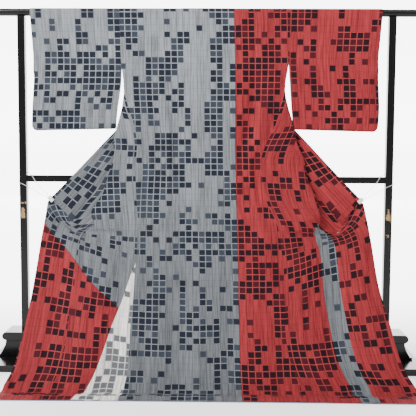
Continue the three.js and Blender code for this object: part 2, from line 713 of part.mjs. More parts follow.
// Columns between two seams
function between(from, to, steps) {
  const columns = range(from, to, steps).map((u) => ({ u }));
  columns[0].hold = HALF_GAP;
  columns[steps].hold = -HALF_GAP;
  return columns;
}

// Rows held off the crest seam and the hem
function bodyRows() {
  const rows = [...ROWS];
  rows[0] = HALF_GAP;
  rows[rows.length - 1] = BODY_LENGTH - HALF_GAP;
  return rows;
}

function frontLegLength(side, row) {
  const edge = frontPoint(side, 0, 0, row);
  const roll = frontPoint(side, 0, 1, row);
  return Math.max(20, edge.distanceTo(roll));
}

function back(side) {
  const surface = (share, row) => {
    if (share <= 1 || row < SIDE_OPENING_END) return backPoint(side, share, row);
    const leg = frontLegLength(side, row);
    return frontPoint(side, 0, ((share - 1) * BACK_WIDTH) / leg, row);
  };
  return clothPiece(surface, between(0, 1, BACK_COLUMNS), bodyRows(), WALL, 0.004);
}

// The front and its okumi share one surface: u counts legs from the side seam
function frontSurface(side) {
  return (u, row) => {
    if (u < 0 && row >= SIDE_OPENING_END) {
      return backPoint(side, 1 + (u * frontLegLength(side, row)) / BACK_WIDTH, row);
    }
    const leg = Math.min(2, Math.max(0, Math.floor(u)));
    return frontPoint(side, leg, u - leg, row);
  };
}

function front(side) {
  const columns = between(0, 1, LEG_COLUMNS).slice(0, -1);
  columns.push(...between(1, 2, LEG_COLUMNS + 1));
  delete columns[LEG_COLUMNS].hold;
  return clothPiece(frontSurface(side), columns, bodyRows(), WALL, 0.01);
}

function okumi(side) {
  const rows = bodyRows().filter((row) => row > OKUMI_TIP + 1);
  return clothPiece(frontSurface(side), between(2, 3, OKUMI_COLUMNS), rows, WALL, 0.01);
}

function collar() {
  const step = WRAP_LENGTH / 4 / COLLAR_WIDTH;
  const shares = [0, step, 2 * step, 3 * step, 4 * step, 0.38, 0.65, 1];
  const shoulderRows = ROWS.filter((row) => row <= COLLAR_END);
  const neckRows = [-NECK_HALF * 0.97, -60, -30, -2];
  const rows = [...neckRows, ...shoulderRows.slice(1)];
  const points = [];
  const normals = [];
  for (const side of ['left', 'right']) {
    const surface = (share, row) => collarPoint(side, share, row);
    const strip = rows.map((row) => shares.map((share) => surface(share, row)));
    const facing = rows.map((row) => shares.map((share) => {
      const joined = share === 0 && row > WRAP_ROW;
      const n = joined ? seamNormal(side, row) : normalAt(surface, share, row, 0.01, 1.5);
      return n.multiplyScalar(SIDES[side]);
    }));
    if (side === 'left') {
      strip.reverse();
      facing.reverse();
    }
    points.push(...strip);
    normals.push(...facing);
  }
  return wallFromGrid(points, normals, WALL);
}

function hemRoll(side) {
  const rows = [BODY_LENGTH + HALF_GAP, BODY_LENGTH + HEM_ROLL];
  const backShares = range(0.0005, 1, 8);
  const gap = 0.0015;
  const surface = frontSurface(side);
  const frontUs = [
    ...range(0, 1, 2).slice(1),
    ...range(1, 2, 3).slice(1),
    ...range(2, 3 - gap, 3).slice(1),
  ];
  const place = (p, row) => {
    const moved = p.clone();
    moved.y -= (row - BODY_LENGTH) * ROW_SCALE;
    return moved;
  };
  const line = [
    ...backShares.map((share) => backPoint(side, share, BODY_LENGTH)),
    ...frontUs.map((u) => surface(u, BODY_LENGTH)),
  ];
  const points = rows.map((row) => line.map((p) => place(p, row)));
  const normals = rows.map(() => line.map(() => new THREE.Vector3(0, 0, 1)));
  return wallFromGrid(points, normals, WALL);
}

// Sleeve: a flat tube over the rod, closed below, open at the body and at the wrist
function sleeve(side) {
  const sign = SIDES[side];
  const table = SLEEVE_EDGES[side];
  const width = 335;
  const nearWrist = [44, 32, 22, 14, 7, 2.5, 0].map((d) => 1 - d / width);
  const stations = [0, 0.1, 0.3, 0.5, 0.7, ...nearWrist];
  const layers = 9;
  const points = stations.map((share) => {
    const fromWrist = (1 - share) * width;
    const lift = fromWrist < SLEEVE_CORNER
      ? SLEEVE_CORNER - Math.sqrt(SLEEVE_CORNER ** 2 - (SLEEVE_CORNER - fromWrist) ** 2)
      : 0;
    const bottom = mix(SLEEVE_BOTTOM.atBody, SLEEVE_BOTTOM.atWrist, share) + lift;
    const place = (depth, height) => {
      const body = column(table, 'height', 'body', height) + SLEEVE_GAP;
      const wrist = column(table, 'height', 'wrist', height);
      return new THREE.Vector3(sign * mix(body, wrist, share), depth, height);
    };
    const depthAt = (height) => {
      const up = (height - bottom) / (ROD_HEIGHT - bottom);
      const open = mix(SLEEVE_WALL + 0.4, DRAPE_RADIUS, smooth(up / 0.45));
      const below = smooth((ROD_HEIGHT - WRIST_OPENING - height) / 30 + 0.5);
      const closing = smooth((WRIST_CLOSING - fromWrist) / WRIST_CLOSING) * below;
      return mix(open, SLEEVE_WALL / 2 + HALF_GAP, closing);
    };
    const ring = [place(0, bottom)];
    for (let i = 0; i < layers; i += 1) {
      const height = mix(bottom + 3, ROD_HEIGHT, (i / (layers - 1)) ** 0.9);
      ring.push(place(-depthAt(height), height));
    }
    for (let i = 1; i < 8; i += 1) {
      const a = (i / 8) * Math.PI;
      ring.push(place(-DRAPE_RADIUS * Math.cos(a), ROD_HEIGHT + DRAPE_RADIUS * Math.sin(a)));
    }
    for (let i = layers - 1; i >= 0; i -= 1) {
      const height = mix(bottom + 3, ROD_HEIGHT, (i / (layers - 1)) ** 0.9);
      ring.push(place(depthAt(height), height));
    }
    return ring;
  });
  const count = points[0].length;
  const normals = points.map((ring, i) => ring.map((p, j) => {
    const next = ring[(j + 1) % count];
    const last = ring[(j - 1 + count) % count];
    const along = next.clone().sub(last);
    const n = new THREE.Vector3(0, along.z, -along.y).normalize();
    return n.multiplyScalar(-1);
  }));
  return wallFromGrid(points, normals, SLEEVE_WALL, true);
}

function box(width, depth, height, x, y, z) {
  const geometry = new THREE.BoxGeometry(width, depth, height);
  geometry.translate(x, y, z);
  return geometry;
}

function rod() {
  const geometry = new THREE.CylinderGeometry(ROD_RADIUS, ROD_RADIUS, 2 * ROD_HALF_LENGTH, 24);
  geometry.rotateZ(Math.PI / 2);
  geometry.translate(0, 0, ROD_HEIGHT);
  return geometry;
}

// Outline in X and Z, drawn through the depth
function drawn(outline, depth, x) {
  const shape = new THREE.Shape(outline.map(([a, b]) => new THREE.Vector2(a, b)));
  const geometry = new THREE.ExtrudeGeometry(shape, { depth, bevelEnabled: false });
  geometry.rotateX(Math.PI / 2);
  geometry.translate(x, depth / 2, 0);
  return geometry;
}

function footBlock(x) {
  const bottom = FOOT_BASE_TALL + SEAM_GAP;
  const top = FOOT_BLOCK_TOP - SEAM_GAP;
  const half = [];
  for (let i = 0; i <= 6; i += 1) {
    const t = i / 6;
    half.push([mix(90, 67, Math.sin((t * Math.PI) / 2)), mix(bottom + 8, top, t)]);
  }
  const right = [[98, bottom], [98, bottom + 8], ...half];
  const left = right.map(([a, b]) => [-a, b]).reverse();
  return drawn([...right, ...left], FOOT_BLOCK_DEPTH, x);
}

function footCap(x) {
  const middle = (FOOT_BLOCK_TOP + FOOT_CAP_TOP) / 2;
  const radius = (FOOT_CAP_TOP - FOOT_BLOCK_TOP) / 2;
  const centre = 80 - radius;
  const right = range(-Math.PI / 2, Math.PI / 2, 8).map((a) => [
    centre + radius * Math.cos(a),
    middle + radius * Math.sin(a),
  ]);
  const left = right.map(([a, b]) => [-a, b]).reverse();
  return drawn([...right, ...left], FOOT_BLOCK_DEPTH + 16, x);
}

// Clip at the corner of the collar, open towards the cloth
const CLIP = { x: 585, y: -41.6, z: 634.6, mouth: -5, throat: 13, heel: 18, wide: 15, jaw: 2.8 };
const CLIP_SLOT = WALL + 2.6;

function clip(side) {
  const half = CLIP_SLOT / 2;
  const outer = half + CLIP.jaw;
  const { mouth, throat, heel } = CLIP;
  const outline = [
    [mouth, -outer], [heel, -outer * 0.6], [heel, outer * 0.6], [mouth, outer],
    [mouth, half], [throat, half], [throat, -half], [mouth, -half],
  ];
  const shape = new THREE.Shape(outline.map(([a, b]) => new THREE.Vector2(a, b)));
  const geometry = new THREE.ExtrudeGeometry(shape, { depth: CLIP.wide, bevelEnabled: false });
  geometry.translate(0, 0, -CLIP.wide / 2);
  geometry.rotateY(-Math.PI / 4);
  if (side === 'left') geometry.rotateZ(Math.PI);
  geometry.translate(SIDES[side] * CLIP.x, CLIP.y, CLIP.z);
  return geometry;
}

// Thread loop from the clip round the joint of crossbar and upright
const THREAD_RADIUS = 0.8;
const THREAD_ROUTE = [
  { out: 600.2, depth: -41, height: 651.6 },
  { out: 625, depth: -32, height: 678 },
  { out: 652, depth: -22, height: 705 },
  { out: 670, depth: -13, height: 729.5 },
  { out: 684, depth: 0, height: 735 },
  { out: 685.6, depth: 15.9, height: 737 },
  { out: 702, depth: 15, height: 729 },
  { out: 718.5, depth: 16.2, height: 717 },
  { out: 717.1, depth: 0, height: 708 },
  { out: 718.5, depth: -16.2, height: 701 },
  { out: 702, depth: -15.1, height: 693 },
  { out: 684, depth: -17.5, height: 684 },
  { out: 645, depth: -29, height: 665 },
  { out: 606.8, depth: -41, height: 646 },
];

function thread(side) {
  const points = THREAD_ROUTE.map((r) => new THREE.Vector3(SIDES[side] * r.out, r.depth, r.height));
  const curve = new THREE.CatmullRomCurve3(points, true, 'centripetal');
  const section = new THREE.Shape(range(0, 5, 5).slice(0, -1).map((i) => {
    const a = (i / 5) * Math.PI * 2;
    return new THREE.Vector2(THREAD_RADIUS * Math.cos(a), THREAD_RADIUS * Math.sin(a));
  }));
  return new THREE.ExtrudeGeometry(section, { steps: 42, extrudePath: curve, bevelEnabled: false });
}

const kimono = new THREE.Group();
kimono.add(
  named('back_left', back('left'), 'grayCloth'),
  named('back_right', back('right'), 'redCloth'),
  named('front_left', front('left'), 'grayCloth'),
  named('front_right', front('right'), 'redCloth'),
  named('okumi_left', okumi('left'), 'redCloth'),
  named('okumi_right', okumi('right'), 'redCloth'),
  named('collar', collar(), 'grayCloth'),
  named('sleeve_left', sleeve('left'), 'grayCloth'),
  named('sleeve_right', sleeve('right'), 'redCloth'),
  named('hem_roll_left', hemRoll('left'), 'lining'),
  named('hem_roll_right', hemRoll('right'), 'lining'),
);

const rack = new THREE.Group();
const uprightTop = ROD_HEIGHT - ROD_RADIUS - SEAM_GAP;
const uprightBottom = FOOT_CAP_TOP + SEAM_GAP;
const uprightTall = uprightTop - uprightBottom;
const uprightMiddle = (uprightTop + uprightBottom) / 2;
const crossbarLong = 2 * (UPRIGHT_X - UPRIGHT_SIDE / 2 - SEAM_GAP);
rack.add(
  named('rod', rod(), 'lacquer'),
  named('crossbar', box(crossbarLong, CROSSBAR_DEEP, CROSSBAR_TALL, 0, 0, CROSSBAR_HEIGHT), 'lacquer'),
);
for (const [side, sign] of Object.entries(SIDES)) {
  const x = sign * UPRIGHT_X;
  const post = box(UPRIGHT_SIDE, UPRIGHT_SIDE, uprightTall, x, 0, uprightMiddle);
  const base = box(FOOT_WIDTH, FOOT_DEPTH, FOOT_BASE_TALL, x, 0, FOOT_BASE_TALL / 2);
  rack.add(
    named(`upright_${side}`, post, 'lacquer'),
    named(`foot_base_${side}`, base, 'lacquer'),
    named(`foot_block_${side}`, footBlock(x), 'lacquer'),
    named(`foot_cap_${side}`, footCap(x), 'lacquer'),
    named(`clip_${side}`, clip(side), 'clip'),
    named(`thread_${side}`, thread(side), 'thread'),
  );
}

// The origin is under the middle of the whole: the hem reaches forward, the feet reach back
const group = new THREE.Group();
group.add(kimono, rack);
const bounds = new THREE.Box3().setFromObject(group, true);
const middleDepth = (bounds.min.y + bounds.max.y) / 2;
group.traverse((mesh) => {
  if (mesh.isMesh) mesh.geometry.translate(0, -middleDepth, 0);
});

export default group;
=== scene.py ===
"""Looks of the tsukesage kimono on its lacquered rack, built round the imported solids.

Every cloth piece is a thin shell on its solid's own form. Rows count millimetres from the
shoulder, columns go across the panel, and the folds come from short tables. Lengths in the
tables are millimetres, measured from the rod's axis in depth; the meshes are in metres.
"""
import math

import bpy
import numpy as np
from mathutils import Matrix, Vector


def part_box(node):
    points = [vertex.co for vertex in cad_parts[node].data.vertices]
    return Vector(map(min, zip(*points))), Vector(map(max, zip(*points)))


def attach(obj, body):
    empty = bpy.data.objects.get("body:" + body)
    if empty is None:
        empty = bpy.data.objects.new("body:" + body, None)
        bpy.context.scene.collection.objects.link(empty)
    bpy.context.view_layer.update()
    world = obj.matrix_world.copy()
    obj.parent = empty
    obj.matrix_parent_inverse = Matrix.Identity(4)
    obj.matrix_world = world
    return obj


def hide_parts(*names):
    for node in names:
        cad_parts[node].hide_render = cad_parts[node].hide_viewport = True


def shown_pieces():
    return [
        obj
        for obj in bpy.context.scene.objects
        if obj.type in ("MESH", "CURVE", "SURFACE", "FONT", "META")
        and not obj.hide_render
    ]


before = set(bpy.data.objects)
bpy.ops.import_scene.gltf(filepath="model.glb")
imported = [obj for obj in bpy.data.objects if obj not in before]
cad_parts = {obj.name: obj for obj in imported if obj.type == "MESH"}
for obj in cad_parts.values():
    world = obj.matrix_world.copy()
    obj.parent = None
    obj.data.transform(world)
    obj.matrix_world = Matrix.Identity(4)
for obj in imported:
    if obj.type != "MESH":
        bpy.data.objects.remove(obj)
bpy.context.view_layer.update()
rod_low, rod_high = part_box("rod")
DEPTH_SHIFT = (rod_low.y + rod_high.y) / 2

# Sizes, as in the solids
ROD_HEIGHT = 1345
BODY_LENGTH = 1600
FRONT_WIDTH = 230
OKUMI_WIDTH = 155
OKUMI_TIP = 230
NECK_HALF = 90
COLLAR_WIDTH = 110
COLLAR_END = 810
SIDE_OPENING_END = 350
CLIP_ROW = 900
SWAG_ROWS = 250
DRAPE_RADIUS = 15.5
LEAN_START = 850
LEAN_REACH = 384
LEAN_POWER = 1.5
BEND_START = 17
BEND_RADIUS = 35
FLOOR_RUN = 78
FLOOR_LIFT = 1.4
HEM_HUMP = 7
SLEEVE_CORNER = 22
WRIST_OPENING = 230
WRIST_CLOSING = 40
SIDES = {"left": -1, "right": 1}

# Rows of the fronts where their opening, folds and swag begin or end
OPENING_START = 120
FOLDS_START = 230
FOLDS_END = 860
SWAG_START = 790
SWAG_END = 820

# Ends of the collar: how far they come forward, sag and rise, and the rows where that begins
COLLAR_FORWARD = 4
COLLAR_SAG = 8
COLLAR_RISE = 2.5
COLLAR_TURN = 735
COLLAR_TIP = 792

# Thickness of the shells, share kept of the back's inward creases, small waves
CLOTH = 1.4
SLEEVE_CLOTH = 1.2
BACK_INWARD = 0.3
WAVE = 0.9
RIPPLE = 0.35

# Sleeve: gap to the body, flat width. Rolled hem: radii, distance past the hem, height
SLEEVE_GAP = 0.3
SLEEVE_WIDTH = 335
HEM_RADII = (2.1, 1.1)
HEM_INSET = 1.9
HEM_LIFT = 1.25

# Seams by height: height, centre back, left side seam, right side seam
SEAM_X = [
    (1362, 0, -328, 317), (1264, 3, -325, 315.5), (1166, 6, -322, 314), (1100, 7, -315, 304),
    (1038, 8, -308, 296), (980, 8, -292, 281), (921, 9, -273, 264), (845, 10, -262, 228),
    (790, 11, -265, 212), (740, 12, -267, 216), (640, 14, -260, 231), (548, 16, -251, 272),
    (447, 19, -251, 287), (390, 21, -255, 292), (274, 24, -257, 293), (194, 26, -262, 292),
    (115, 28, -261, 302), (45, 30, -265, 325), (17, 31, -271, 340),
]
SEAM_COLUMN = {"centre": 1, "left": 2, "right": 3}
HEM_SPREAD = {"centre": 1, "left": -9, "right": 12}

# Opened fronts: row, rolled fold, tuck at the okumi seam, seam to the collar, its height
FRONTS_TOP = [
    (0, 240, 90, 90, 1360.5), (25, 240, 91, 91, 1345), (120, 240, 95, 95, 1262),
    (230, 262, 115, 115, 1150),
]
FRONTS = {
    "left": [
        *FRONTS_TOP,
        (290, 300, 112, 138, 1096), (350, 313, 122, 172, 1042), (400, 320, 146, 206, 996),
        (450, 333, 174, 242, 948), (495, 345, 196, 272, 903), (540, 352, 214, 302, 856),
        (580, 349, 226, 328, 815), (620, 358, 240, 354, 772), (655, 370, 258, 380, 733),
        (690, 379, 278, 407, 692), (725, 388, 302, 434, 656), (760, 408, 334, 462, 621),
        (790, 428, 362, 490, 586), (810, 432, 390, 509.5, 559), (835, 420, 413, 528, 584),
        (860, 404, 436, 552, 609), (880, 388, 450, 577, 632), (900, 370, 462, 602, 634),
    ],
    "right": [
        *FRONTS_TOP,
        (290, 290, 112, 138, 1096), (350, 303, 122, 172, 1042), (400, 315, 146, 206, 996),
        (450, 330, 178, 242, 948), (495, 339, 206, 272, 903), (540, 351, 234, 302, 852),
        (580, 370, 256, 326, 808), (620, 381, 272, 350, 764), (655, 386, 286, 374, 723),
        (690, 398, 304, 406, 682), (725, 412, 326, 437, 648), (760, 425, 350, 468, 614),
        (790, 433, 378, 498, 578), (810, 440, 404, 520, 550), (835, 429, 425, 536, 572),
        (860, 415, 446, 556, 604), (880, 400, 457, 577, 629), (900, 384, 466, 601, 631),
    ],
}
FRONT_COLUMN = {"roll": 1, "tuck": 2, "seam": 3, "height": 4}

# Depths of the same lines: row, edge, rolled fold, tuck, seam, and how far the two folds turn back
FRONT_DEPTH = [
    (120, 15.5, 16, 17, 17, 0, 0), (175, 14.5, 14, 15, 15, 0, 0.5), (230, 8, 9, 12, 12, 0, 1),
    (290, -5, 0, 6, 15, 0.5, 1), (350, -16, -6, 4, 18, 1, 1), (450, -16, -6, 6, 18, 1, 1),
    (540, -16, -9, 0, 9, 1, 1), (620, -30, -22, -13, -6, 1, 1), (655, -38, -31, -22, -16, 1, 1),
    (690, -48, -38, -28, -21, 1, 1), (760, -70, -56, -42, -32, 1, 1),
    (810, -88, -69, -53, -37, 0.7, 0.7), (835, -98, -76, -59, -35, 0.3, 0.3),
    (860, -108, -84, -66, -31, 0, 0), (880, -116, -91, -72, -29, 0, 0),
    (900, -124, -98, -78, -33, 0, 0),
]
DEPTH_COLUMN = {"edge": 1, "roll": 2, "tuck": 3, "seam": 4, "roll_turn": 5, "tuck_turn": 6}

# Rows below the collar: row, drop under its corner, power that keeps the rise near the outer edge
SWAG = [
    (810, 0, 24), (822, 14, 24), (835, 26, 20), (860, 40, 14),
    (880, 42, 10), (900, 50, 7), (1030, 50, 4),
]

# Free edge of the collar: row, distance out, depth, height
COLLAR_EDGE = [
    (0, 60, 18, 1263), (25, 61, 22, 1248), (120, 84, 38, 1174), (230, 162, 40, 1094),
    (350, 252, 33, 1000), (450, 324, 22, 925), (540, 389, 8, 857), (620, 446, -6, 795),
    (690, 497, -18, 740), (760, 548, -29, 686), (810, 591, -38, 641),
]

# Outer edge of the okumi below the clip: distance out, depth, height
OUTER_EDGE = {
    "left": [
        (602, -33, 634), (609, -67, 557), (616, -100, 488), (621, -137, 418),
        (630, -209, 296), (643, -284, 180), (652, -326, 118), (666, -366, 61),
        (688, -394, 17),
    ],
    "right": [
        (601, -33, 631), (613, -67, 560), (622, -98, 492), (639, -187, 331),
        (663, -253, 228), (682, -315, 135), (702, -358, 72), (736, -394, 17),
    ],
}
OUTER_HEM_SPREAD = {"left": 28, "right": 21}

# Largest folds, as in the solids: share of the width, depth, half width, first row, last row
BACK_FOLDS = {
    "left": [
        (0.57, 10, 0.07, 260, 820), (0.7, -9, 0.09, 300, 760), (0.88, -8, 0.06, 420, 900),
        (0.3, -5, 0.12, 500, 1250), (0.62, 12, 0.2, 950, 1580), (0.2, 9, 0.16, 1050, 1580),
    ],
    "right": [
        (0.62, -9, 0.09, 170, 640), (0.8, 9, 0.1, 200, 820), (0.35, 7, 0.12, 320, 900),
        (0.9, -8, 0.06, 560, 940), (0.55, 11, 0.2, 980, 1580), (0.18, -7, 0.14, 1000, 1560),
    ],
}
FRONT_FOLDS = {
    "left": [
        (0.16, -9, 0.08, 900, 1590), (0.42, 12, 0.13, 860, 1590), (0.75, -10, 0.12, 880, 1580),
    ],
    "right": [
        (0.2, 9, 0.1, 900, 1590), (0.5, -10, 0.12, 860, 1590), (0.78, 10, 0.1, 880, 1580),
    ],
}

# Finer creases of the looks: share at the first row, share at the last row, depth towards the
# outer side, half width as a share, first row, last row
OKUMI_TOP = [
    (0.75, 0.1, -7, 0.07, 812, 940), (0.9, 0.35, 4, 0.06, 815, 960),
]
CREASES = {
    "back_left": [
        (0.47, 0.5, -4.5, 0.018, 270, 760), (0.52, 0.54, 4, 0.022, 280, 780),
        (0.76, 0.7, -4, 0.03, 380, 740), (0.82, 0.93, -3.5, 0.022, 300, 520),
        (0.9, 0.72, 3, 0.03, 440, 700), (0.97, 0.8, -2.5, 0.025, 470, 640),
        (0.14, 0.2, -2, 0.03, 420, 900), (0.35, 0.42, 2.5, 0.04, 800, 1250),
        (0.8, 0.86, -3, 0.035, 900, 1450), (0.48, 0.52, -3, 0.04, 1050, 1560),
    ],
    "back_right": [
        (0.52, 0.7, -5, 0.022, 120, 560), (0.6, 0.78, 3.5, 0.025, 130, 560),
        (0.3, 0.42, -3, 0.02, 380, 700), (0.72, 0.86, -4, 0.025, 380, 720),
        (0.95, 0.84, -3, 0.02, 480, 700), (0.42, 0.55, 3, 0.03, 620, 1000),
        (0.22, 0.18, -2, 0.03, 700, 1200), (0.7, 0.74, -3.5, 0.04, 950, 1500),
        (0.36, 0.33, 3, 0.04, 1050, 1560),
    ],
    "front_left": [
        (0.3, 0.5, -3, 0.04, 420, 700), (0.2, 0.3, 3, 0.03, 760, 980),
        (0.55, 0.7, -3.5, 0.03, 820, 1100), (0.4, 0.52, -3, 0.035, 1000, 1500),
        (0.72, 0.78, 3, 0.04, 1050, 1560),
    ],
    "front_right": [
        (0.3, 0.5, -3.5, 0.04, 420, 700), (0.12, 0.22, -4, 0.03, 640, 900),
        (0.55, 0.66, 3.5, 0.03, 840, 1100), (0.34, 0.4, -3, 0.035, 1000, 1520),
        (0.7, 0.66, -3, 0.04, 1080, 1560),
    ],
    "okumi_left": [
        *OKUMI_TOP,
        (0.2, 0.45, -3, 0.06, 860, 1060), (0.6, 0.5, 3, 0.08, 1000, 1560),
        (0.85, 0.8, -2.5, 0.05, 1150, 1580),
    ],
    "okumi_right": [
        *OKUMI_TOP,
        (0.15, 0.4, -3, 0.06, 860, 1080), (0.5, 0.62, 3, 0.08, 980, 1560),
        (0.82, 0.76, -2.5, 0.05, 1100, 1580),
    ],
    "collar": [
        (0.3, 0.45, 1.2, 0.1, 300, 780), (0.7, 0.6, -1.2, 0.08, 420, 800),
    ],
    "sleeve_left": [
        (0.22, 0.26, 2.5, 0.06, 120, 430), (0.5, 0.46, -2.5, 0.07, 60, 420),
        (0.78, 0.8, 2, 0.06, 160, 430),
    ],
    "sleeve_right": [
        (0.16, 0.24, -2.5, 0.05, 60, 420), (0.42, 0.5, 2.5, 0.07, 140, 430),
        (0.72, 0.68, -2, 0.06, 100, 430),
    ],
}

# Sleeves: height, edge at the body, edge at the wrist, out from the centre
SLEEVE_EDGES = {
    "left": [
        (1362, 328, 668), (1264, 325, 661), (1166, 322.5, 655), (1080, 325, 658),
        (980, 338, 665), (900, 344, 668),
    ],
    "right": [
        (1362, 317, 664), (1264, 315.5, 657), (1166, 314.5, 650), (1080, 320, 655),
        (980, 327, 660), (900, 334, 656),
    ],
}
SLEEVE_BOTTOM = (907, 899)

# Grids: first, last and step of the body's even rows, a sleeve's columns by their distance from
# the wrist, its points up each face, and the cloth that it has over the rod
EVEN_ROWS = (32, 1488, 8.0)
WRIST_COLUMNS = (44, 36, 30, 25, 20, 15, 11, 7, 4, 2, 0.7, 0)
SLEEVE_LAYERS = 44
OVER_ROD = 24

# Where each kind of piece lies in the printed pattern, in millimetres across
PATTERN_AT = {"back": 2000, "front": 3000, "okumi": 4000, "collar": 5000, "sleeve": 6000}
COLLAR_ALONG = 3000
SLEEVE_ALONG = 25


def smooth(t):
    c = min(1.0, max(0.0, t))
    return c * c * (3 - 2 * c)


def mix(a, b, t):
    return a + (b - a) * t


def column(table, value, at):
    """Value column of a table at any key (the first column), on a smooth curve."""
    rows = table if table[0][0] < table[-1][0] else table[::-1]
    at = min(max(at, rows[0][0]), rows[-1][0])
    i = 0
    while rows[i + 1][0] < at:
        i += 1
    a, b = rows[i], rows[i + 1]
    span = b[0] - a[0]

    def slope(p, q):
        return (q[value] - p[value]) / (q[0] - p[0])

    here = slope(a, b)

    def limit(m):
        if m * here <= 0:
            return 0.0
        return math.copysign(min(abs(m), 2.5 * abs(here)), here)

    enter = limit((slope(rows[i - 1], a) + here) / 2) if i > 0 else here
    leave = limit((here + slope(b, rows[i + 2])) / 2) if i + 2 < len(rows) else here
    t = (at - a[0]) / span
    rest = 1 - t
    ends = rest * rest * (1 + 2 * t) * a[value] + t * t * (3 - 2 * t) * b[value]
    return ends + span * t * rest * (rest * enter - t * leave)


def sweep_points():
    """Side view of the drape: over the rod, plumb, leaning forward, a bend, a run on the floor."""
    points = []
    for i in range(9):
        a = i / 8 * math.pi / 2
        points.append((-DRAPE_RADIUS * math.sin(a), ROD_HEIGHT + DRAPE_RADIUS * math.cos(a)))
    points += [(-DRAPE_RADIUS, mix(ROD_HEIGHT, LEAN_START, i / 20)) for i in range(1, 21)]
    for i in range(1, 61):
        z = mix(LEAN_START, BEND_START, i / 60)
        y = -DRAPE_RADIUS - LEAN_REACH * ((LEAN_START - z) / LEAN_START) ** LEAN_POWER
        points.append((y, z))
    before, start = points[-2], points[-1]
    slant = math.atan2(before[0] - start[0], before[1] - start[1])
    centre = start[0] - BEND_RADIUS * math.cos(slant)
    scale = (start[1] - FLOOR_LIFT) / (BEND_RADIUS * (1 - math.sin(slant)))
    for i in range(1, 11):
        a = mix(slant, math.pi / 2, i / 10)
        y = centre + BEND_RADIUS * math.cos(a)
        z = start[1] - (math.sin(a) - math.sin(slant)) * BEND_RADIUS * scale
        points.append((y, z))
    end = points[-1]
    for i in range(1, 17):
        t = i / 16
        hump = HEM_HUMP * math.sin(math.pi * t) ** 2 * smooth(t * 2)
        points.append((end[0] - FLOOR_RUN * t, FLOOR_LIFT + hump))
    return np.array(points)


SWEEP = sweep_points()
SWEEP_LENGTHS = np.concatenate([[0], np.cumsum(np.hypot(*np.diff(SWEEP, axis=0).T))])
ROW_SCALE = SWEEP_LENGTHS[-1] / BODY_LENGTH
WRAP_ROW = DRAPE_RADIUS * math.pi / 2 / ROW_SCALE


def sweep(row):
    """Depth and height of a row."""
    length = min(SWEEP_LENGTHS[-1], row * ROW_SCALE)
    y = np.interp(length, SWEEP_LENGTHS, SWEEP[:, 0])
    z = np.interp(length, SWEEP_LENGTHS, SWEEP[:, 1])
    return float(y), float(z)


BEND_ROW = float(SWEEP_LENGTHS[np.argmax(SWEEP[:, 1] <= BEND_START)]) / ROW_SCALE


def front_value(side, name, row):
    return column(FRONTS[side], FRONT_COLUMN[name], row)


def front_depth(name, row):
    return column(FRONT_DEPTH, DEPTH_COLUMN[name], row)


def folds(table, share, row):
    total = 0.0
    for at, depth, half, first, last in table:
        fade = min(160, (last - first) / 3)
        along = smooth((row - first) / fade) * smooth((last - row) / fade)
        total += depth * math.exp(-(((share - at) / half) ** 2)) * along
    return total


def spread_at(row, spread):
    return spread * smooth((row - BEND_ROW) / (BODY_LENGTH - BEND_ROW))


def seam_at(name, row):
    height = sweep(min(row, BEND_ROW))[1]
    return column(SEAM_X, SEAM_COLUMN[name], height) + spread_at(row, HEM_SPREAD[name])


def back_line(side, shares, row):
    """One row of a back panel, from the centre seam to the side seam."""
    y, z = sweep(row)
    centre, edge = seam_at("centre", row), seam_at(side, row)
    line = []
    for share in shares:
        inner = smooth(share / 0.12) * smooth((1 - share) / 0.06)
        depth = folds(BACK_FOLDS[side], share, row) * inner
        lift = abs(depth) * 0.25 if row > BEND_ROW else 0
        line.append(Vector((mix(centre, edge, share), y - depth, z + lift)))
    return line


def curve_through(points):
    """Points at equal steps on a centripetal curve through the given ones."""
    ends = [points[0] * 2 - points[1], *points, points[-1] * 2 - points[-2]]
    fine = []
    for p0, p1, p2, p3 in zip(ends, ends[1:], ends[2:], ends[3:]):
        t1 = (p1 - p0).length ** 0.5
        t2 = t1 + (p2 - p1).length ** 0.5
        t3 = t2 + (p3 - p2).length ** 0.5
        for i in range(40):
            t = mix(t1, t2, i / 40)
            a1 = p0.lerp(p1, t / t1)
            a2 = p1.lerp(p2, (t - t1) / (t2 - t1))
            a3 = p2.lerp(p3, (t - t2) / (t3 - t2))
            b1 = a1.lerp(a2, t / t2)
            b2 = a2.lerp(a3, (t - t1) / (t3 - t1))
            fine.append(b1.lerp(b2, (t - t1) / (t2 - t1)))
    fine.append(points[-1])
    return fine


def at_length(fine, share):
    """Point of a polyline at a share of its length."""
    points = np.array(fine)
    lengths = np.concatenate([[0], np.cumsum(np.linalg.norm(np.diff(points, axis=0), axis=1))])
    return Vector([np.interp(share * lengths[-1], lengths, values) for values in points.T])


OUTER_CURVES = {
    side: curve_through([Vector((SIDES[side] * out, depth, height)) for out, depth, height in rows])
    for side, rows in OUTER_EDGE.items()
}


def front_edge(side, row):
    """Seam to the collar, and below the clip the okumi's free edge."""
    sign = SIDES[side]
    out = front_value(side, "seam", row)
    y, z = sweep(row)
    if row <= WRAP_ROW:
        return Vector((sign * out, -y, z))
    if row <= CLIP_ROW:
        if row < OPENING_START:
            opened = smooth((row - WRAP_ROW) / (OPENING_START - WRAP_ROW))
            depth = mix(DRAPE_RADIUS, FRONT_DEPTH[0][4], opened)
        else:
            depth = front_depth("seam", row)
        return Vector((sign * out, depth, front_value(side, "height", row)))
    if row <= BEND_ROW:
        return at_length(OUTER_CURVES[side], (row - CLIP_ROW) / (BEND_ROW - CLIP_ROW))
    start = OUTER_CURVES[side][-1]
    from_y = sweep(BEND_ROW)[0]
    out = start.x + sign * spread_at(row, OUTER_HEM_SPREAD[side])
    return Vector((out, start.y + y - from_y, z + start.z - BEND_START))


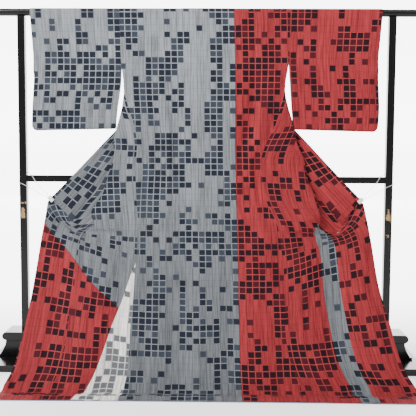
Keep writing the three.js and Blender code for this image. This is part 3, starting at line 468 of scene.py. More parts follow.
def front_side_edge(side, row):
    x = seam_at(side, row)
    y, z = sweep(row)
    if row <= WRAP_ROW:
        return Vector((x, -y, z))
    if row < SIDE_OPENING_END:
        depth = DRAPE_RADIUS
        if row >= OPENING_START:
            depth = front_depth("edge", row)
        return Vector((x, max(depth, y), z))
    return Vector((x, y, z))


def front_width(row):
    grown = min(1.0, max(0.0, (row - OKUMI_TIP) / (COLLAR_END - OKUMI_TIP)))
    return FRONT_WIDTH + OKUMI_WIDTH * grown


def hanging_height(side, start, end, share, row):
    """Height of the cloth below the collar, where it hangs from the clip."""
    corner = front_value(side, "height", min(row, COLLAR_END))
    low = corner - column(SWAG, 1, row)
    under = mix(low, end, smooth((row - CLIP_ROW) / SWAG_ROWS))
    return mix(start, under, share) + (end - under) * share ** column(SWAG, 2, row)


def front_line(side, stations, row):
    """One row of an opened front: stations 0 to 1 to the rolled fold, 2 the tuck, 3 the edge."""
    sign = SIDES[side]
    edge, seam = front_side_edge(side, row), front_edge(side, row)
    tuck_share = FRONT_WIDTH / front_width(row)
    roll_share = 0.45 * tuck_share
    blend = smooth((row - OPENING_START) / (FOLDS_START - OPENING_START))
    blend *= 1 - smooth((row - FOLDS_END) / (CLIP_ROW - FOLDS_END))

    def place(share, name):
        flat = edge.lerp(seam, share)
        folded = Vector((sign * front_value(side, name, row), front_depth(name, row), flat.z))
        return flat.lerp(folded, blend)

    roll = place(roll_share, "roll")
    tuck = seam.copy() if row <= OKUMI_TIP else place(tuck_share, "tuck")
    through = (seam - edge).normalized()
    rearward = Vector((0, 1, 0))
    out_of_seam = smooth((row - 200) / 150)
    turning = OPENING_START < row < CLIP_ROW
    turns = {name: front_depth(name, row) if turning else 0 for name in ("roll_turn", "tuck_turn")}
    legs = []
    for leg, (start, end) in enumerate([(edge, roll), (roll, tuck), (tuck, seam)]):
        long = (end - start).length / 3
        short = min(long, math.sqrt(abs(start.x - end.x) * 2))

        def turned(name):
            turn = turns[name]
            return through.lerp(rearward, turn).normalized() * mix(long, short, turn)

        if leg == 0:
            leaving = through.lerp(Vector((sign, 0, 0)), out_of_seam) * long
            arriving = turned("roll_turn")
        elif leg == 1:
            leaving = turned("roll_turn")
            arriving = turned("tuck_turn")
        else:
            leaving = turned("tuck_turn")
            arriving = (end - start) / 3
        legs.append((start, start + leaving, end - arriving, end))
    hang = smooth((row - SWAG_START) / (SWAG_END - SWAG_START))
    ends = (0, roll_share, tuck_share, 1)
    line = []
    for station in stations:
        leg = min(2, max(0, int(station)))
        t = station - leg
        p0, p1, p2, p3 = legs[leg]
        r = 1 - t
        point = p0 * r**3 + p1 * 3 * r * r * t + p2 * 3 * r * t * t + p3 * t**3
        share = mix(ends[leg], ends[leg + 1], t)
        if hang > 0:
            point.z = mix(point.z, hanging_height(side, edge.z, seam.z, share, row), hang)
        inner = smooth(share / 0.12) * smooth((1 - share) / 0.08)
        depth = folds(FRONT_FOLDS[side], share, row) * inner
        point.y -= depth
        if row > BEND_ROW:
            point.z += abs(depth) * 0.25
        line.append(point)
    return line


def wrapped(x, row, free, share):
    """A strip that follows the rod's crest to its rear and then hangs to its free edge."""
    radius = DRAPE_RADIUS + 1
    left = (WRAP_ROW - row) * ROW_SCALE
    down = share * COLLAR_WIDTH
    if down <= left:
        turn = min((row * ROW_SCALE + down) / DRAPE_RADIUS, math.pi / 2)
        drift = mix(x, free.x, down / COLLAR_WIDTH * 0.4)
        return Vector((drift, radius * math.sin(turn), ROD_HEIGHT + radius * math.cos(turn)))
    drift = mix(x, free.x, left / COLLAR_WIDTH * 0.4)
    start = Vector((drift, radius, ROD_HEIGHT))
    return start.lerp(free, (down - left) / (COLLAR_WIDTH - left))


def collar_line(side, shares, row):
    """One row of the collar, from its seam to its free edge. Negative rows go round the neck."""
    sign = SIDES[side]
    if row < 0:
        along = (row + NECK_HALF) / NECK_HALF
        x = sign * NECK_HALF * along
        free = Vector((x * 0.67, 18, mix(1259, 1263, along)))
        return [wrapped(x, 0, free, share) for share in shares]
    out, depth, height = (column(COLLAR_EDGE, i, row) for i in (1, 2, 3))
    free = Vector((sign * out, depth, height))
    seam = front_edge(side, row)
    if row < WRAP_ROW:
        return [wrapped(seam.x, row, free, share) for share in shares]
    stations = (1.99, 2) if row <= OKUMI_TIP else (2.99, 3)
    near, last = front_line(side, stations, row)
    away = (last - near).normalized()
    over = smooth((row - 60) / 60) * (1 - smooth((row - 236) / 50))
    turned = smooth((row - COLLAR_TURN) / (COLLAR_END - COLLAR_TURN))
    corner = smooth((row - COLLAR_TIP) / (COLLAR_END - COLLAR_TIP))
    line = []
    for share in shares:
        rise = min(1, share / 0.05) * (1 - share) * over
        point = seam.lerp(free, share) + away * 4 * rise
        point.y += 2 * rise
        point.y -= COLLAR_FORWARD * max(turned * smooth(share / 0.12), corner)
        point.z += corner * mix(-COLLAR_SAG, COLLAR_RISE, smooth(share / 0.3))
        line.append(point)
    return line


def crease(name, share, row):
    """Finer creases of a piece, and small uneven waves that fade at its seams."""
    total = 0.0
    for first_share, last_share, depth, half, first, last in CREASES[name]:
        along = (row - first) / (last - first)
        if 0 < along < 1:
            at = mix(first_share, last_share, along)
            inward = depth < 0 and name.startswith("back") and first < CLIP_ROW
            reach = depth * BACK_INWARD if inward else depth
            across = math.exp(-(((share - at) / half) ** 2))
            total += reach * math.sin(math.pi * along) ** 0.7 * across
    seed = sum(map(ord, name)) % 17
    wave = math.sin(share * 19 + row * 0.006 + seed) * math.sin(share * 7.3 - row * 0.0041 + 2 * seed)
    ripple = math.sin(share * 41 + row * 0.013 + 3 * seed) * math.sin(row * 0.021 - share * 5 + seed)
    total += (WAVE * wave + RIPPLE * ripple) * smooth((row - 40) / 200)
    return total * smooth(share / 0.08) * smooth((1 - share) / 0.08)


def normals_of(grid):
    across = np.gradient(grid, axis=1)
    along = np.gradient(grid, axis=0)
    n = np.cross(across, along)
    return n / np.maximum(np.linalg.norm(n, axis=2, keepdims=True), 1e-9)


def running_length(grid):
    """Length along each row from its first column."""
    steps = np.linalg.norm(np.diff(grid, axis=1), axis=2)
    return np.concatenate([np.zeros((len(grid), 1)), np.cumsum(steps, axis=1)], axis=1)


def to_frame(points):
    """Millimetres from the rod's axis to metres in the row frame."""
    moved = np.asarray(points, float) * 0.001
    moved[..., 1] += DEPTH_SHIFT
    return moved


def smooth_mesh(name, vertices, faces):
    mesh = bpy.data.meshes.new(name)
    mesh.from_pydata(vertices, [], faces)
    mesh.polygons.foreach_set("use_smooth", np.ones(len(faces), bool))
    return mesh


def placed(name, data):
    """A new object in the scene."""
    made = bpy.data.objects.new(name, data)
    bpy.context.collection.objects.link(made)
    return made


def shell(name, grid, normals, thickness, uv, fields, closed=False):
    """Thin closed shell through a grid; the outer face is on the normals' side.

    Materials: 0 on the outer face, 1 on the inner face, 2 on the rims.
    """
    rows, columns = grid.shape[:2]
    count = rows * columns
    outer = grid + normals * thickness / 2
    inner = grid - normals * thickness / 2
    vertices = to_frame(np.concatenate([outer.reshape(-1, 3), inner.reshape(-1, 3)]))
    ids = np.arange(count).reshape(rows, columns)
    right = np.roll(ids, -1, axis=1)
    last = columns if closed else columns - 1
    a, b = ids[:-1, :last].ravel(), right[:-1, :last].ravel()
    c, d = right[1:, :last].ravel(), ids[1:, :last].ravel()
    faces = [np.stack([a, b, c, d], 1), np.stack([a, d, c, b], 1) + count]
    slots = [np.zeros(len(a), int), np.ones(len(a), int)]
    rims = [(ids[0, :], False), (ids[-1, :], True)]
    if closed:
        rims = [(np.append(r, r[0]), f) for r, f in rims]
    else:
        rims += [(ids[:, 0], True), (ids[:, -1], False)]
    for rim, flip in rims:
        p, q = rim[:-1], rim[1:]
        quad = np.stack([p, p + count, q + count, q], 1)
        faces.append(quad[:, ::-1] if flip else quad)
        slots.append(np.full(len(p), 2))
    faces = np.concatenate(faces)
    slots = np.concatenate(slots)
    if (normals_of(grid) * normals)[1:-1, 1:-1].sum() < 0:
        faces = faces[:, ::-1]
    mesh = smooth_mesh(name, vertices.tolist(), faces.tolist())
    layer = mesh.uv_layers.new(name="cloth")
    flat_uv = np.tile(uv.reshape(-1, 2) * 0.001, (2, 1))
    corners = np.zeros(len(mesh.loops), np.int32)
    mesh.loops.foreach_get("vertex_index", corners)
    layer.data.foreach_set("uv", flat_uv[corners].ravel())
    for field, values in fields.items():
        attribute = mesh.attributes.new(field, "FLOAT", "POINT")
        attribute.data.foreach_set("value", np.tile(values.ravel(), 2).astype(np.float32))
    mesh.polygons.foreach_set("material_index", slots.astype(np.int32))
    mesh.update()
    ends = np.zeros(len(mesh.edges) * 2, np.int32)
    mesh.edges.foreach_get("vertices", ends)
    ends = ends.reshape(-1, 2)
    rim_ids = np.unique(np.concatenate([r for r, _ in rims]))
    on_rim = np.isin(ends % count, rim_ids).all(axis=1)
    same_face = (ends[:, 0] < count) == (ends[:, 1] < count)
    flags = mesh.attributes.new("sharp_edge", "BOOLEAN", "EDGE")
    flags.data.foreach_set("value", on_rim & same_face)
    return placed(name, mesh)


def body_rows():
    """Rows round the rod, then at even steps down the body, then closer along the floor."""
    first, last, step = EVEN_ROWS
    rows = list(np.linspace(0, WRAP_ROW, 9))
    rows += list(np.arange(first, last, step))
    rows += list(np.linspace(last, BODY_LENGTH, 24))
    return rows


def creased(name, grid, normals, shares, rows):
    depth = np.array([[crease(name, share, row) for share in shares] for row in rows])
    return grid + normals * depth[..., None]


def spans(*parts):
    """Stations from a list of (first, last, steps)."""
    values = [parts[0][0]]
    for first, last, steps in parts:
        values += [mix(first, last, i / steps) for i in range(1, steps + 1)]
    return values


def outward(grid, side):
    """Normals of a grid that starts at the garment's middle, turned to its outer face."""
    return normals_of(grid) * -SIDES[side]


# Fields of colour, as millimetres inside the field, or outside it where below zero
FAR = 1000.0


def nowhere(u):
    return np.full_like(u, -FAR)


def everywhere(u):
    return np.full_like(u, FAR)


# Width of the gray on the right back, rows and widths of the gray strip on the right front, the
# first row and the growth of the white wedge, and the line above the left front's red
RIGHT_BACK_GRAY = 104
STRIPE = [(760, 63), (800, 18), (825, 18), (845, 28), (890, 53), (930, 63)]
WEDGE_START = 1010
WEDGE_GROWTH = 0.27
RED_START = 1205
RED_AT = 45
RED_SLANT = 0.691


def left_red(u, s):
    """Red below a slanting line across the left front and its okumi."""
    return (s - RED_START + RED_SLANT * (u - RED_AT)) / math.hypot(1, RED_SLANT)


def back_piece(side):
    name = f"back_{side}"
    shares = spans((0, 1, 52))
    rows = body_rows()
    grid = np.array([back_line(side, shares, row) for row in rows])
    u = running_length(grid)
    s = np.repeat(np.array(rows)[:, None], len(shares), axis=1)
    shape = creased(name, grid, outward(grid, side), shares, rows)
    red = nowhere(u) if side == "left" else u - RIGHT_BACK_GRAY
    uv = np.stack([u * SIDES[side] + PATTERN_AT["back"], s], axis=2)
    fields = {"red": red, "white": nowhere(u)}
    return shell(f"silk_{name}", shape, outward(shape, side), CLOTH, uv, fields)


def front_pieces(side):
    """Front and okumi of one side, cut from one grid at the seam between them."""
    rows = body_rows()
    stations = spans((0, 1, 18), (1, 2, 24), (2, 3, 26))
    grid = np.array([front_line(side, stations, row) for row in rows])
    seam = stations.index(2)
    u = running_length(grid)
    s = np.repeat(np.array(rows)[:, None], len(stations), axis=1)
    made = []
    for kind, first, last in (("front", 0, seam), ("okumi", seam, len(stations) - 1)):
        is_front = kind == "front"
        name = f"{kind}_{side}"
        kept = [i for i, row in enumerate(rows) if is_front or row > OKUMI_TIP + 6]
        part = grid[kept][:, first:last + 1]
        lo, hi = stations[first], stations[last]
        shares = [(station - lo) / (hi - lo) for station in stations[first:last + 1]]
        part_rows = [rows[i] for i in kept]
        shape = creased(name, part, outward(part, side), shares, part_rows)
        pu, ps = u[kept][:, first:last + 1], s[kept][:, first:last + 1]
        seam_u = u[kept][:, seam:seam + 1]
        if side == "left":
            red = left_red(pu, ps)
            white = (ps - WEDGE_START) * WEDGE_GROWTH - pu
            if is_front:
                red = np.where(white > 0, np.minimum(red, -white), red)
        else:
            stripe = np.array([column(STRIPE, 1, row) for row in part_rows])[:, None]
            red = seam_u - stripe - pu if is_front else everywhere(pu)
            white = nowhere(pu)
        start = 0 if is_front else seam_u
        uv = np.stack([(pu - start) * SIDES[side] + PATTERN_AT[kind], ps], axis=2)
        fields = {"red": red, "white": white}
        made.append(shell(f"silk_{name}", shape, outward(shape, side), CLOTH, uv, fields))
    return made


def collar_piece():
    shares = spans((0, 0.25, 12), (0.25, 1, 16))
    rows = spans((-NECK_HALF, 0, 12), (0, WRAP_ROW, 6), (WRAP_ROW, COLLAR_END, 98))
    strips, along, sign = [], [], []
    for side in ("left", "right"):
        strip = np.array([collar_line(side, shares, row) for row in rows])
        strip = creased("collar", strip, outward(strip, side), shares, rows)
        order = rows
        if side == "left":
            strip, order = strip[::-1][:-1], rows[::-1][:-1]
        strips.append(strip)
        along += [row * SIDES[side] for row in order]
        sign += [SIDES[side]] * len(order)
    grid = np.concatenate(strips)
    s = np.repeat(np.array(along)[:, None], len(shares), axis=1)
    u = np.array(shares)[None, :] * COLLAR_WIDTH + np.zeros_like(s)
    red = np.repeat(np.array(sign, float)[:, None], len(shares), axis=1) * FAR
    uv = np.stack([u + PATTERN_AT["collar"], s + COLLAR_ALONG], axis=2)
    fields = {"red": red, "white": nowhere(u)}
    return shell("silk_collar", grid, -normals_of(grid), CLOTH, uv, fields)


def sleeve_piece(side):
    """A flat tube over the rod, closed below, open at the body and at the wrist's upper part."""
    name = f"sleeve_{side}"
    sign = SIDES[side]
    table = SLEEVE_EDGES[side]
    near = [1 - distance / SLEEVE_WIDTH for distance in WRIST_COLUMNS]
    stations = spans((0, 0.85, 34)) + near
    grid, uv = [], []
    for share in stations:
        from_wrist = (1 - share) * SLEEVE_WIDTH
        lift = 0.0
        if from_wrist < SLEEVE_CORNER:
            lift = SLEEVE_CORNER - math.sqrt(SLEEVE_CORNER**2 - (SLEEVE_CORNER - from_wrist) ** 2)
        bottom = mix(*SLEEVE_BOTTOM, share) + lift

        def place(depth, height):
            body = column(table, 1, height) + SLEEVE_GAP
            x = sign * mix(body, column(table, 2, height), share)
            return x, depth, height

        def depth_at(height):
            up = (height - bottom) / (ROD_HEIGHT - bottom)
            opened = mix(SLEEVE_CLOTH + 0.8, DRAPE_RADIUS, smooth(up / 0.45))
            below = smooth((ROD_HEIGHT - WRIST_OPENING - height) / 30 + 0.5)
            closing = smooth((WRIST_CLOSING - from_wrist) / WRIST_CLOSING) * below
            return mix(opened, SLEEVE_CLOTH / 2 + 0.1, closing)

        def on_face(height, face):
            row = ROD_HEIGHT - height + (0 if face < 0 else 37)
            fade = smooth((height - bottom) / 40) * smooth((ROD_HEIGHT - height) / 80)
            return place(face * (depth_at(height) + crease(name, share, row) * fade), height)

        steps = [(i / (SLEEVE_LAYERS - 1)) ** 0.92 for i in range(SLEEVE_LAYERS)]
        heights = [mix(bottom + 2, ROD_HEIGHT, step) for step in steps]
        drops = [ROD_HEIGHT - height for height in heights]
        ring = [place(0, bottom)] + [on_face(height, -1) for height in heights]
        drop = [ROD_HEIGHT - bottom] + drops
        for i in range(1, 10):
            a = i / 10 * math.pi
            height = ROD_HEIGHT + DRAPE_RADIUS * math.sin(a)
            ring.append(place(-DRAPE_RADIUS * math.cos(a), height))
            drop.append(OVER_ROD - OVER_ROD * math.sin(a))
        grid.append(ring + [on_face(height, 1) for height in reversed(heights)])
        drop += reversed(drops)
        across = sign * share * SLEEVE_WIDTH + PATTERN_AT["sleeve"]
        uv.append([(across, d + SLEEVE_ALONG) for d in drop])
    grid, uv = np.array(grid), np.array(uv)
    following = np.roll(grid, -1, axis=1) - np.roll(grid, 1, axis=1)
    normals = np.stack([np.zeros(following.shape[:2]), -following[..., 2], following[..., 1]], axis=2)
    normals /= np.linalg.norm(normals, axis=2, keepdims=True)
    field = everywhere if side == "right" else nowhere
    fields = {"red": field(uv[..., 0]), "white": nowhere(uv[..., 0])}
    return shell(f"silk_{name}", grid, normals, SLEEVE_CLOTH, uv, fields, closed=True)


def hem_piece(side):
    """The lining rolled out below the hem, as a soft round edge."""
    shares = spans((0, 1, 40))
    stations = spans((0, 1, 16), (1, 2, 20), (2, 3, 24))
    line = back_line(side, shares, BODY_LENGTH) + front_line(side, stations, BODY_LENGTH)[1:]
    turns = [i / 12 * math.tau for i in range(12)]
    deep = [HEM_RADII[0] * math.cos(a) - HEM_INSET for a in turns]
    high = [HEM_RADII[1] * math.sin(a) + HEM_LIFT for a in turns]
    grid = np.array([[(p.x, p.y + y, z) for y, z in zip(deep, high)] for p in line])
    rows, columns = grid.shape[:2]
    faces = []
    for here in range(0, (rows - 1) * columns, columns):
        after = here + columns
        for j in range(columns):
            k = (j + 1) % columns
            faces.append((here + j, here + k, after + k, after + j))
    faces.append(tuple(range(columns))[::-1])
    faces.append(tuple((rows - 1) * columns + j for j in range(columns)))
    mesh = smooth_mesh(f"silk_hem_{side}", to_frame(grid.reshape(-1, 3)).tolist(), faces)
    mesh.update()
    return placed(mesh.name, mesh)


class Nodes:
    """Small helper that adds shader nodes and links them."""

    def __init__(self, name):
        self.material = bpy.data.materials.new(name)
        self.material.use_nodes = True
        self.tree = self.material.node_tree
        self.surface = self.tree.nodes["Principled BSDF"]

    def add(self, kind, inputs=None, **settings):
        node = self.tree.nodes.new(kind)
        for key, value in settings.items():
            setattr(node, key, value)
        for key, value in (inputs or {}).items():
            self.put(node.inputs[key], value)
        return node

    def put(self, socket, value):
        if isinstance(value, bpy.types.NodeSocket):
            self.tree.links.new(value, socket)
        else:
            socket.default_value = value

    def finish(self, values):
        """Values or links for the shader's own sockets."""
        for name, value in values.items():
            self.put(self.surface.inputs[name], value)

    def fill(self, sockets, values):
        for socket, value in zip(sockets, values):
            self.put(socket, value)

    def math(self, operation, *values):
        node = self.add("ShaderNodeMath", operation=operation)
        self.fill(node.inputs, values)
        return node.outputs[0]

    def times(self, a, b):
        return self.math("MULTIPLY", a, b)

    def plus(self, a, b):
        return self.math("ADD", a, b)

    def minus(self, a, b):
        return self.math("SUBTRACT", a, b)

    def larger(self, a, b):
        return self.math("MAXIMUM", a, b)

    def away(self, value, centre):
        """Distance of a value from a centre."""
        return self.math("ABSOLUTE", self.minus(value, centre))

    def vector(self, operation, *values):
        node = self.add("ShaderNodeVectorMath", operation=operation)
        self.fill(node.inputs, values)
        return node.outputs["Vector"]

    def scaled(self, vector, factor):
        node = self.add("ShaderNodeVectorMath", {"Scale": factor}, operation="SCALE")
        self.put(node.inputs[0], vector)
        return node.outputs["Vector"]

    def split(self, vector):
        return self.add("ShaderNodeSeparateXYZ", {"Vector": vector}).outputs

    def joined(self, x, y):
        return self.add("ShaderNodeCombineXYZ", {"X": x, "Y": y}).outputs[0]

    def position(self):
        return self.add("ShaderNodeNewGeometry").outputs["Position"]

    def noise(self, vector, scale, detail=2.0, roughness=0.5):
        inputs = {"Vector": vector, "Scale": scale, "Detail": detail, "Roughness": roughness}
        return self.add("ShaderNodeTexNoise", inputs).outputs[0]

    def stretched(self, vector, stretch, detail=2.0, roughness=0.5):
        """Noise with a scale of its own along each direction."""
        return self.noise(self.vector("MULTIPLY", vector, stretch), 1.0, detail, roughness)

    def white(self, vector):
        return self.add("ShaderNodeTexWhiteNoise", {"Vector": vector}).outputs["Value"]

    def blend(self, factor, a, b):
        node = self.add("ShaderNodeMix", {"Factor": factor}, data_type="RGBA")
        self.fill([s for s in node.inputs if s.type == "RGBA"], (a, b))
        return [s for s in node.outputs if s.type == "RGBA"][0]

    def step(self, value, low, high):
        """0 below low, 1 above high, straight between."""
        node = self.add("ShaderNodeMapRange", {"Value": value, "From Min": low, "From Max": high})
        return node.outputs["Result"]

    def fall(self, value, low, high):
        """1 below low, 0 above high, straight between."""
        return self.minus(1.0, self.step(value, low, high))

    def bump(self, height, distance, strength):
        inputs = {"Height": height, "Distance": distance, "Strength": strength}
        node = self.add("ShaderNodeBump", inputs)
        self.put(self.surface.inputs["Normal"], node.outputs["Normal"])


# Printed silk: colours, and sizes in metres of cloth or shares of a cell
CELL = 0.0245
GRAY = (0.188, 0.2, 0.214, 1)
LOW_GRAY = (0.118, 0.125, 0.135, 1)
RED = (0.235, 0.0235, 0.0275, 1)
WHITE = (0.66, 0.64, 0.61, 1)
MEETING = (0.03, 0.02, 0.025, 1)
DARK_ON_GRAY = (0.011, 0.014, 0.022, 1)
MID_ON_GRAY = (0.03, 0.037, 0.05, 1)
DARK_ON_RED = (0.014, 0.004, 0.007, 1)
MID_ON_RED = (0.05, 0.006, 0.01, 1)
GRAY_ON_WHITE = (0.1, 0.104, 0.11, 1)
PALE_ON_GRAY = (0.36, 0.38, 0.41, 1)
PALE_ON_RED = (0.56, 0.085, 0.075, 1)
GRAY_FALLS = (0.25, 1.1)
FIELD_EDGE = 0.4
MEETING_LINE = (0.5, 1.1)
PRINT_WOBBLE = 0.09
SLUB = (620.0, 26.0, 1.0)
STREAK = (170.0, 9.0, 1.0)
CREPE = (1100.0, 500.0, 1.0)
CLUSTER = (0.27, 0.15, 1.0)
CLUSTER_EDGE = (0.46, 0.56)
THIN_SHARE = 0.09
DENSE_SHARE = 0.84
SQUARE_EDGE = (0.425, 0.445)
DARK_SHARE = 0.6


def silk_material():
    """Crepe silk with a windowpane check, three ground colours and a generic scatter of squares."""
    m = Nodes("printed_silk")
    uv = m.add("ShaderNodeUVMap", uv_map="cloth").outputs["UV"]
    red = m.add("ShaderNodeAttribute", attribute_name="red").outputs["Fac"]
    white = m.add("ShaderNodeAttribute", attribute_name="white").outputs["Fac"]
    wobble = m.times(m.minus(m.noise(uv, 260.0, 1.0), 0.5), PRINT_WOBBLE)
    cells = m.vector("ADD", m.scaled(uv, 1 / CELL), m.joined(wobble, wobble))
    whole = m.vector("FLOOR", cells)
    part = m.split(m.vector("FRACTION", cells))
    from_x = m.away(part["X"], 0.5)
    from_y = m.away(part["Y"], 0.5)
    edge = m.larger(from_x, from_y)

    # Ground colour by field, with a thin dark line where red meets another field
    is_red = m.step(red, -FIELD_EDGE, FIELD_EDGE)
    is_white = m.step(white, -FIELD_EDGE, FIELD_EDGE)
    # The gray ground grows darker down the garment, from row 250 to row 1100 millimetres
    gray = m.blend(m.step(m.split(uv)["Y"], *GRAY_FALLS), GRAY, LOW_GRAY)
    ground = m.blend(is_red, gray, RED)
    ground = m.blend(is_white, ground, WHITE)
    meeting = m.fall(m.math("ABSOLUTE", red), *MEETING_LINE)
    ground = m.blend(m.times(meeting, 0.7), ground, MEETING)

    # Warp: tone of each column, slubs and streaks along it, and a slow drift
    tone = m.white(m.joined(m.split(whole)["X"], 7.0))
    slub = m.stretched(uv, SLUB, 3.0, 0.6)
    streak = m.step(m.stretched(uv, STREAK, 2.0, 0.55), 0.32, 0.62)
    cloud = m.noise(uv, 9.0, 2.0)
    light = 0.16
    for value, share in ((tone, 0.22), (slub, 0.5), (cloud, 0.3), (streak, 0.5)):
        light = m.plus(m.times(value, share), light)

    # Check: strong lines along the warp, faint ones across
    upright = m.step(from_x, 0.468, 0.482)
    level = m.step(from_y, 0.474, 0.488)
    fine = m.fall(m.away(from_x, 0.1), 0.008, 0.02)
    line = m.larger(m.times(upright, 0.6), m.times(level, 0.34))
    line = m.larger(line, m.times(fine, 0.16))

    # Squares: dense in clusters, thin between them
    cluster = m.stretched(whole, CLUSTER, 2.0, 0.55)
    dense = m.step(cluster, *CLUSTER_EDGE)
    limit = m.plus(m.times(dense, DENSE_SHARE), THIN_SHARE)
    there = m.math("LESS_THAN", m.white(whole), limit)
    square = m.times(there, m.fall(edge, *SQUARE_EDGE))
    pick = m.white(m.vector("ADD", whole, (31.0, 17.0, 3.0)))
    deep = m.math("GREATER_THAN", pick, 1 - DARK_SHARE)
    on_gray = m.blend(deep, MID_ON_GRAY, DARK_ON_GRAY)
    on_red = m.blend(deep, MID_ON_RED, DARK_ON_RED)
    ink = m.blend(is_white, m.blend(is_red, on_gray, on_red), GRAY_ON_WHITE)
    gap = m.times(m.times(there, dense), 0.3)
    pale = m.blend(is_red, PALE_ON_GRAY, PALE_ON_RED)

    lined = m.scaled(m.scaled(ground, light), m.minus(1.0, line))
    grounded = m.blend(gap, lined, pale)
    mottled = m.scaled(ink, m.plus(m.times(slub, 0.7), 0.65))
    m.finish({"Base Color": m.blend(square, grounded, mottled)})
    m.finish({"Roughness": 0.72, "Specular IOR Level": 0.08})
    m.finish({"Sheen Weight": 0.03, "Sheen Roughness": 0.5})
    crepe = m.stretched(uv, CREPE)
    relief = m.plus(m.times(crepe, 0.6), m.times(slub, 0.5))
    m.bump(m.minus(relief, m.times(upright, 0.35)), 0.0006, 0.5)
    return m.material


def grained(name, colour, roughness, shine, stretch, contrast, relief):
    """A plain colour with a fine grain, given by its stretch, contrast and relief."""
    m = Nodes(name)
    grain = m.stretched(m.position(), stretch)
    shade = m.plus(m.times(grain, contrast), 1 - contrast / 2)
    m.finish({"Base Color": m.scaled(colour, shade)})
    m.finish({"Roughness": roughness, "Specular IOR Level": shine})
    m.bump(grain, relief, 0.4)
    return m.material


# Worn places of the lacquer, in metres: x, z, half width, half height
WORN = [
    (-0.704, 0.582, 0.007, 0.02), (-0.7, 0.622, 0.012, 0.002), (0.703, 0.572, 0.009, 0.011),
    (0.702, 0.594, 0.003, 0.008), (0.7, 0.5, 0.003, 0.004),
]
BARE_WOOD = ((0.16, 0.085, 0.03, 1), (0.45, 0.3, 0.14, 1))
LACQUER = ((0.003, 0.0028, 0.003, 1), (0.007, 0.0062, 0.0064, 1))


def lacquer_material():
    """Black lacquer, worn through to gold-brown in a few small places."""
    m = Nodes("black_lacquer")
    where = m.position()
    at = m.split(where)
    ragged = m.times(m.minus(m.noise(where, 150.0, 4.0, 0.65), 0.5), 0.022)
    worn = 0.0
    for x, z, half_width, half_height in WORN:
        dx = m.minus(m.away(at["X"], x), half_width)
        dz = m.minus(m.away(at["Z"], z), half_height)
        inside = m.fall(m.plus(m.larger(dx, dz), ragged), -0.001, 0.001)
        worn = m.larger(inside, worn)
    grain = m.stretched(where, (60.0, 60.0, 9.0), 3.0, 0.6)
    bare = m.blend(grain, *BARE_WOOD)
    black = m.blend(grain, *LACQUER)
    m.finish({"Base Color": m.blend(worn, black, bare)})
    m.finish({"Roughness": m.plus(m.times(worn, 0.4), 0.2), "Specular IOR Level": 0.18})
    m.finish({"Coat Weight": 0.08, "Coat Roughness": 0.1})
    m.bump(m.times(grain, 0.4), 0.0004, 0.25)
    return m.material


silk = silk_material()
WEAVE = ((900.0, 900.0, 240.0), 0.22, 0.0004)
lining = grained("lining_silk", (0.44, 0.43, 0.42), 0.6, 0.3, *WEAVE)
edge_silk = grained("edge_silk", (0.2, 0.21, 0.3), 0.5, 0.3, *WEAVE)
lacquer = lacquer_material()
clip_plastic = grained("clip_plastic", (0.8, 0.79, 0.76), 0.38, 0.5, [300.0] * 3, 0.1, 0.0002)
thread_cotton = grained("thread_cotton", (0.82, 0.81, 0.78), 0.8, 0.5, [2500.0] * 3, 0.1, 0.0003)


def dress(piece, node, materials):
    """Materials of a piece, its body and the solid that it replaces."""
    for material in materials:
        piece.data.materials.append(material)
    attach(piece, "root")
    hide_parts(node)


cloth = [silk, lining, edge_silk]
for side in SIDES:
    dress(back_piece(side), f"back_{side}", cloth)
    front_shell, okumi_shell = front_pieces(side)
    dress(front_shell, f"front_{side}", cloth)
    dress(okumi_shell, f"okumi_{side}", cloth)
    dress(sleeve_piece(side), f"sleeve_{side}", cloth)
    dress(hem_piece(side), f"hem_roll_{side}", [edge_silk])
dress(collar_piece(), "collar", cloth)


def bevelled(node, width, material):
    """A copy of a hard solid, with its edges eased."""
    solid = [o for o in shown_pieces() if o.name == node or o.name.startswith(node + ".")]
    mesh = solid[0].data.copy()
    mesh.materials.clear()
    mesh.name = f"eased_{node}"
    piece = placed(mesh.name, mesh)
    piece.matrix_world = solid[0].matrix_world
    weld = piece.modifiers.new("weld", "WELD")
    weld.merge_threshold = 0.00001
    ease = piece.modifiers.new("ease", "BEVEL")
    ease.width = width
    ease.segments = 3
    ease.limit_method = "ANGLE"
    ease.angle_limit = math.radians(40)
    mesh.polygons.foreach_set("use_smooth", np.ones(len(mesh.polygons), bool))
    level = piece.modifiers.new("level", "WEIGHTED_NORMAL")
    level.keep_sharp = True
    dress(piece, node, [material])


# Width of the eased edges of the rack's paired solids, in metres
EASED = {"upright": 0.0015, "foot_base": 0.003, "foot_block": 0.002, "foot_cap": 0.002}
bevelled("rod", 0.0015, lacquer)
bevelled("crossbar", 0.001, lacquer)
for side in SIDES:
    for node, width in EASED.items():
        bevelled(f"{node}_{side}", width, lacquer)
    bevelled(f"clip_{side}", 0.0006, clip_plastic)
    bevelled(f"thread_{side}", 0.00005, thread_cotton)


# Room, in metres: a white floor that runs up into a white wall, farther back than any camera
# stands, and their glow, which rises behind the rack
ROOM_FRONT = -9.0
FLOOR_END = 8.1
ROOM_BEND = 0.9
ROOM_HEIGHT = 9.0
ROOM_HALF = 9.0
GLOW = 0.9
REAR_GLOW = 4.2
GLOW_RISES = (0.2, 1.4)
PAPER = (0.86, 0.86, 0.865, 1)


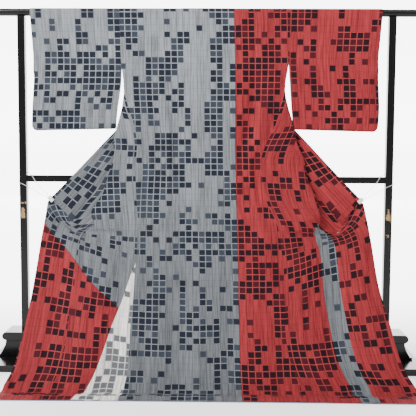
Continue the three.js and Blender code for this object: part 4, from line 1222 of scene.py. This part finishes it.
def cove():
    profile = [(ROOM_FRONT, 0.0), (FLOOR_END, 0.0)]
    for i in range(1, 13):
        a = i / 12 * math.pi / 2
        profile.append((FLOOR_END + ROOM_BEND * math.sin(a), ROOM_BEND - ROOM_BEND * math.cos(a)))
    profile.append((FLOOR_END + ROOM_BEND, ROOM_HEIGHT))
    vertices = [(x, y, z) for y, z in profile for x in (-ROOM_HALF, ROOM_HALF)]
    faces = [(2 * i, 2 * i + 1, 2 * i + 3, 2 * i + 2) for i in range(len(profile) - 1)]
    mesh = smooth_mesh("cove", vertices, faces)
    room = placed("cove", mesh)
    m = Nodes("white_paper")
    rise = m.step(m.split(m.position())["Y"], *GLOW_RISES)
    m.finish({"Emission Strength": m.plus(m.times(rise, REAR_GLOW), GLOW)})
    m.finish({"Emission Color": (1, 1, 1, 1), "Base Color": PAPER, "Roughness": 0.9})
    mesh.materials.append(m.material)


# Lamps: place, the point that they face, size, watts
LAMPS = {
    "key": ((-2.2, -2.2, 3.3), (0, 0, 0.9), (1.2, 0.9), 230),
    "fill": ((2.4, -2.8, 2.4), (0, 0, 0.9), (1.8, 1.4), 30),
    "top": ((0, -0.9, 3.4), (0, 0, 0.3), (3.0, 1.0), 40),
}
SKY = 0.42


def area_light(name, place, target, size, watts):
    light = bpy.data.lights.new(name, "AREA")
    light.shape = "RECTANGLE"
    light.size, light.size_y = size
    light.energy = watts
    lamp = placed(name, light)
    lamp.location = place
    lamp.rotation_euler = (Vector(target) - Vector(place)).to_track_quat("-Z", "Y").to_euler()


cove()
for name, settings in LAMPS.items():
    area_light(name, *settings)
world = bpy.data.worlds.new("white_room")
world.use_nodes = True
sky = world.node_tree.nodes["Background"]
sky.inputs["Color"].default_value = (1, 1, 1, 1)
sky.inputs["Strength"].default_value = SKY
bpy.context.scene.world = world

# Camera, fitted to the photograph
IMAGE_SIDE = 416
FOCAL_PIXELS = 819.06
SENSOR = 36
DISTANCE = 3.15
AIMED_ASIDE = 0.010059
CAMERA_HEIGHT = 0.8821
TURN = math.radians(0.924)
PITCH = math.radians(5.044)
ROLL = math.radians(0.279)
lens = bpy.data.cameras.new("camera")
lens.sensor_width = SENSOR
lens.lens = FOCAL_PIXELS / IMAGE_SIDE * SENSOR
camera = placed("camera", lens)
turn = Matrix.Rotation(TURN, 4, "Z") @ Matrix.Rotation(math.pi / 2 - PITCH, 4, "X")
turn = turn @ Matrix.Rotation(ROLL, 4, "Z")
aside = AIMED_ASIDE + DISTANCE * math.sin(TURN)
place = Vector((aside, DEPTH_SHIFT - DISTANCE * math.cos(TURN), CAMERA_HEIGHT))
camera.matrix_world = Matrix.Translation(place) @ turn
bpy.context.scene.camera = camera
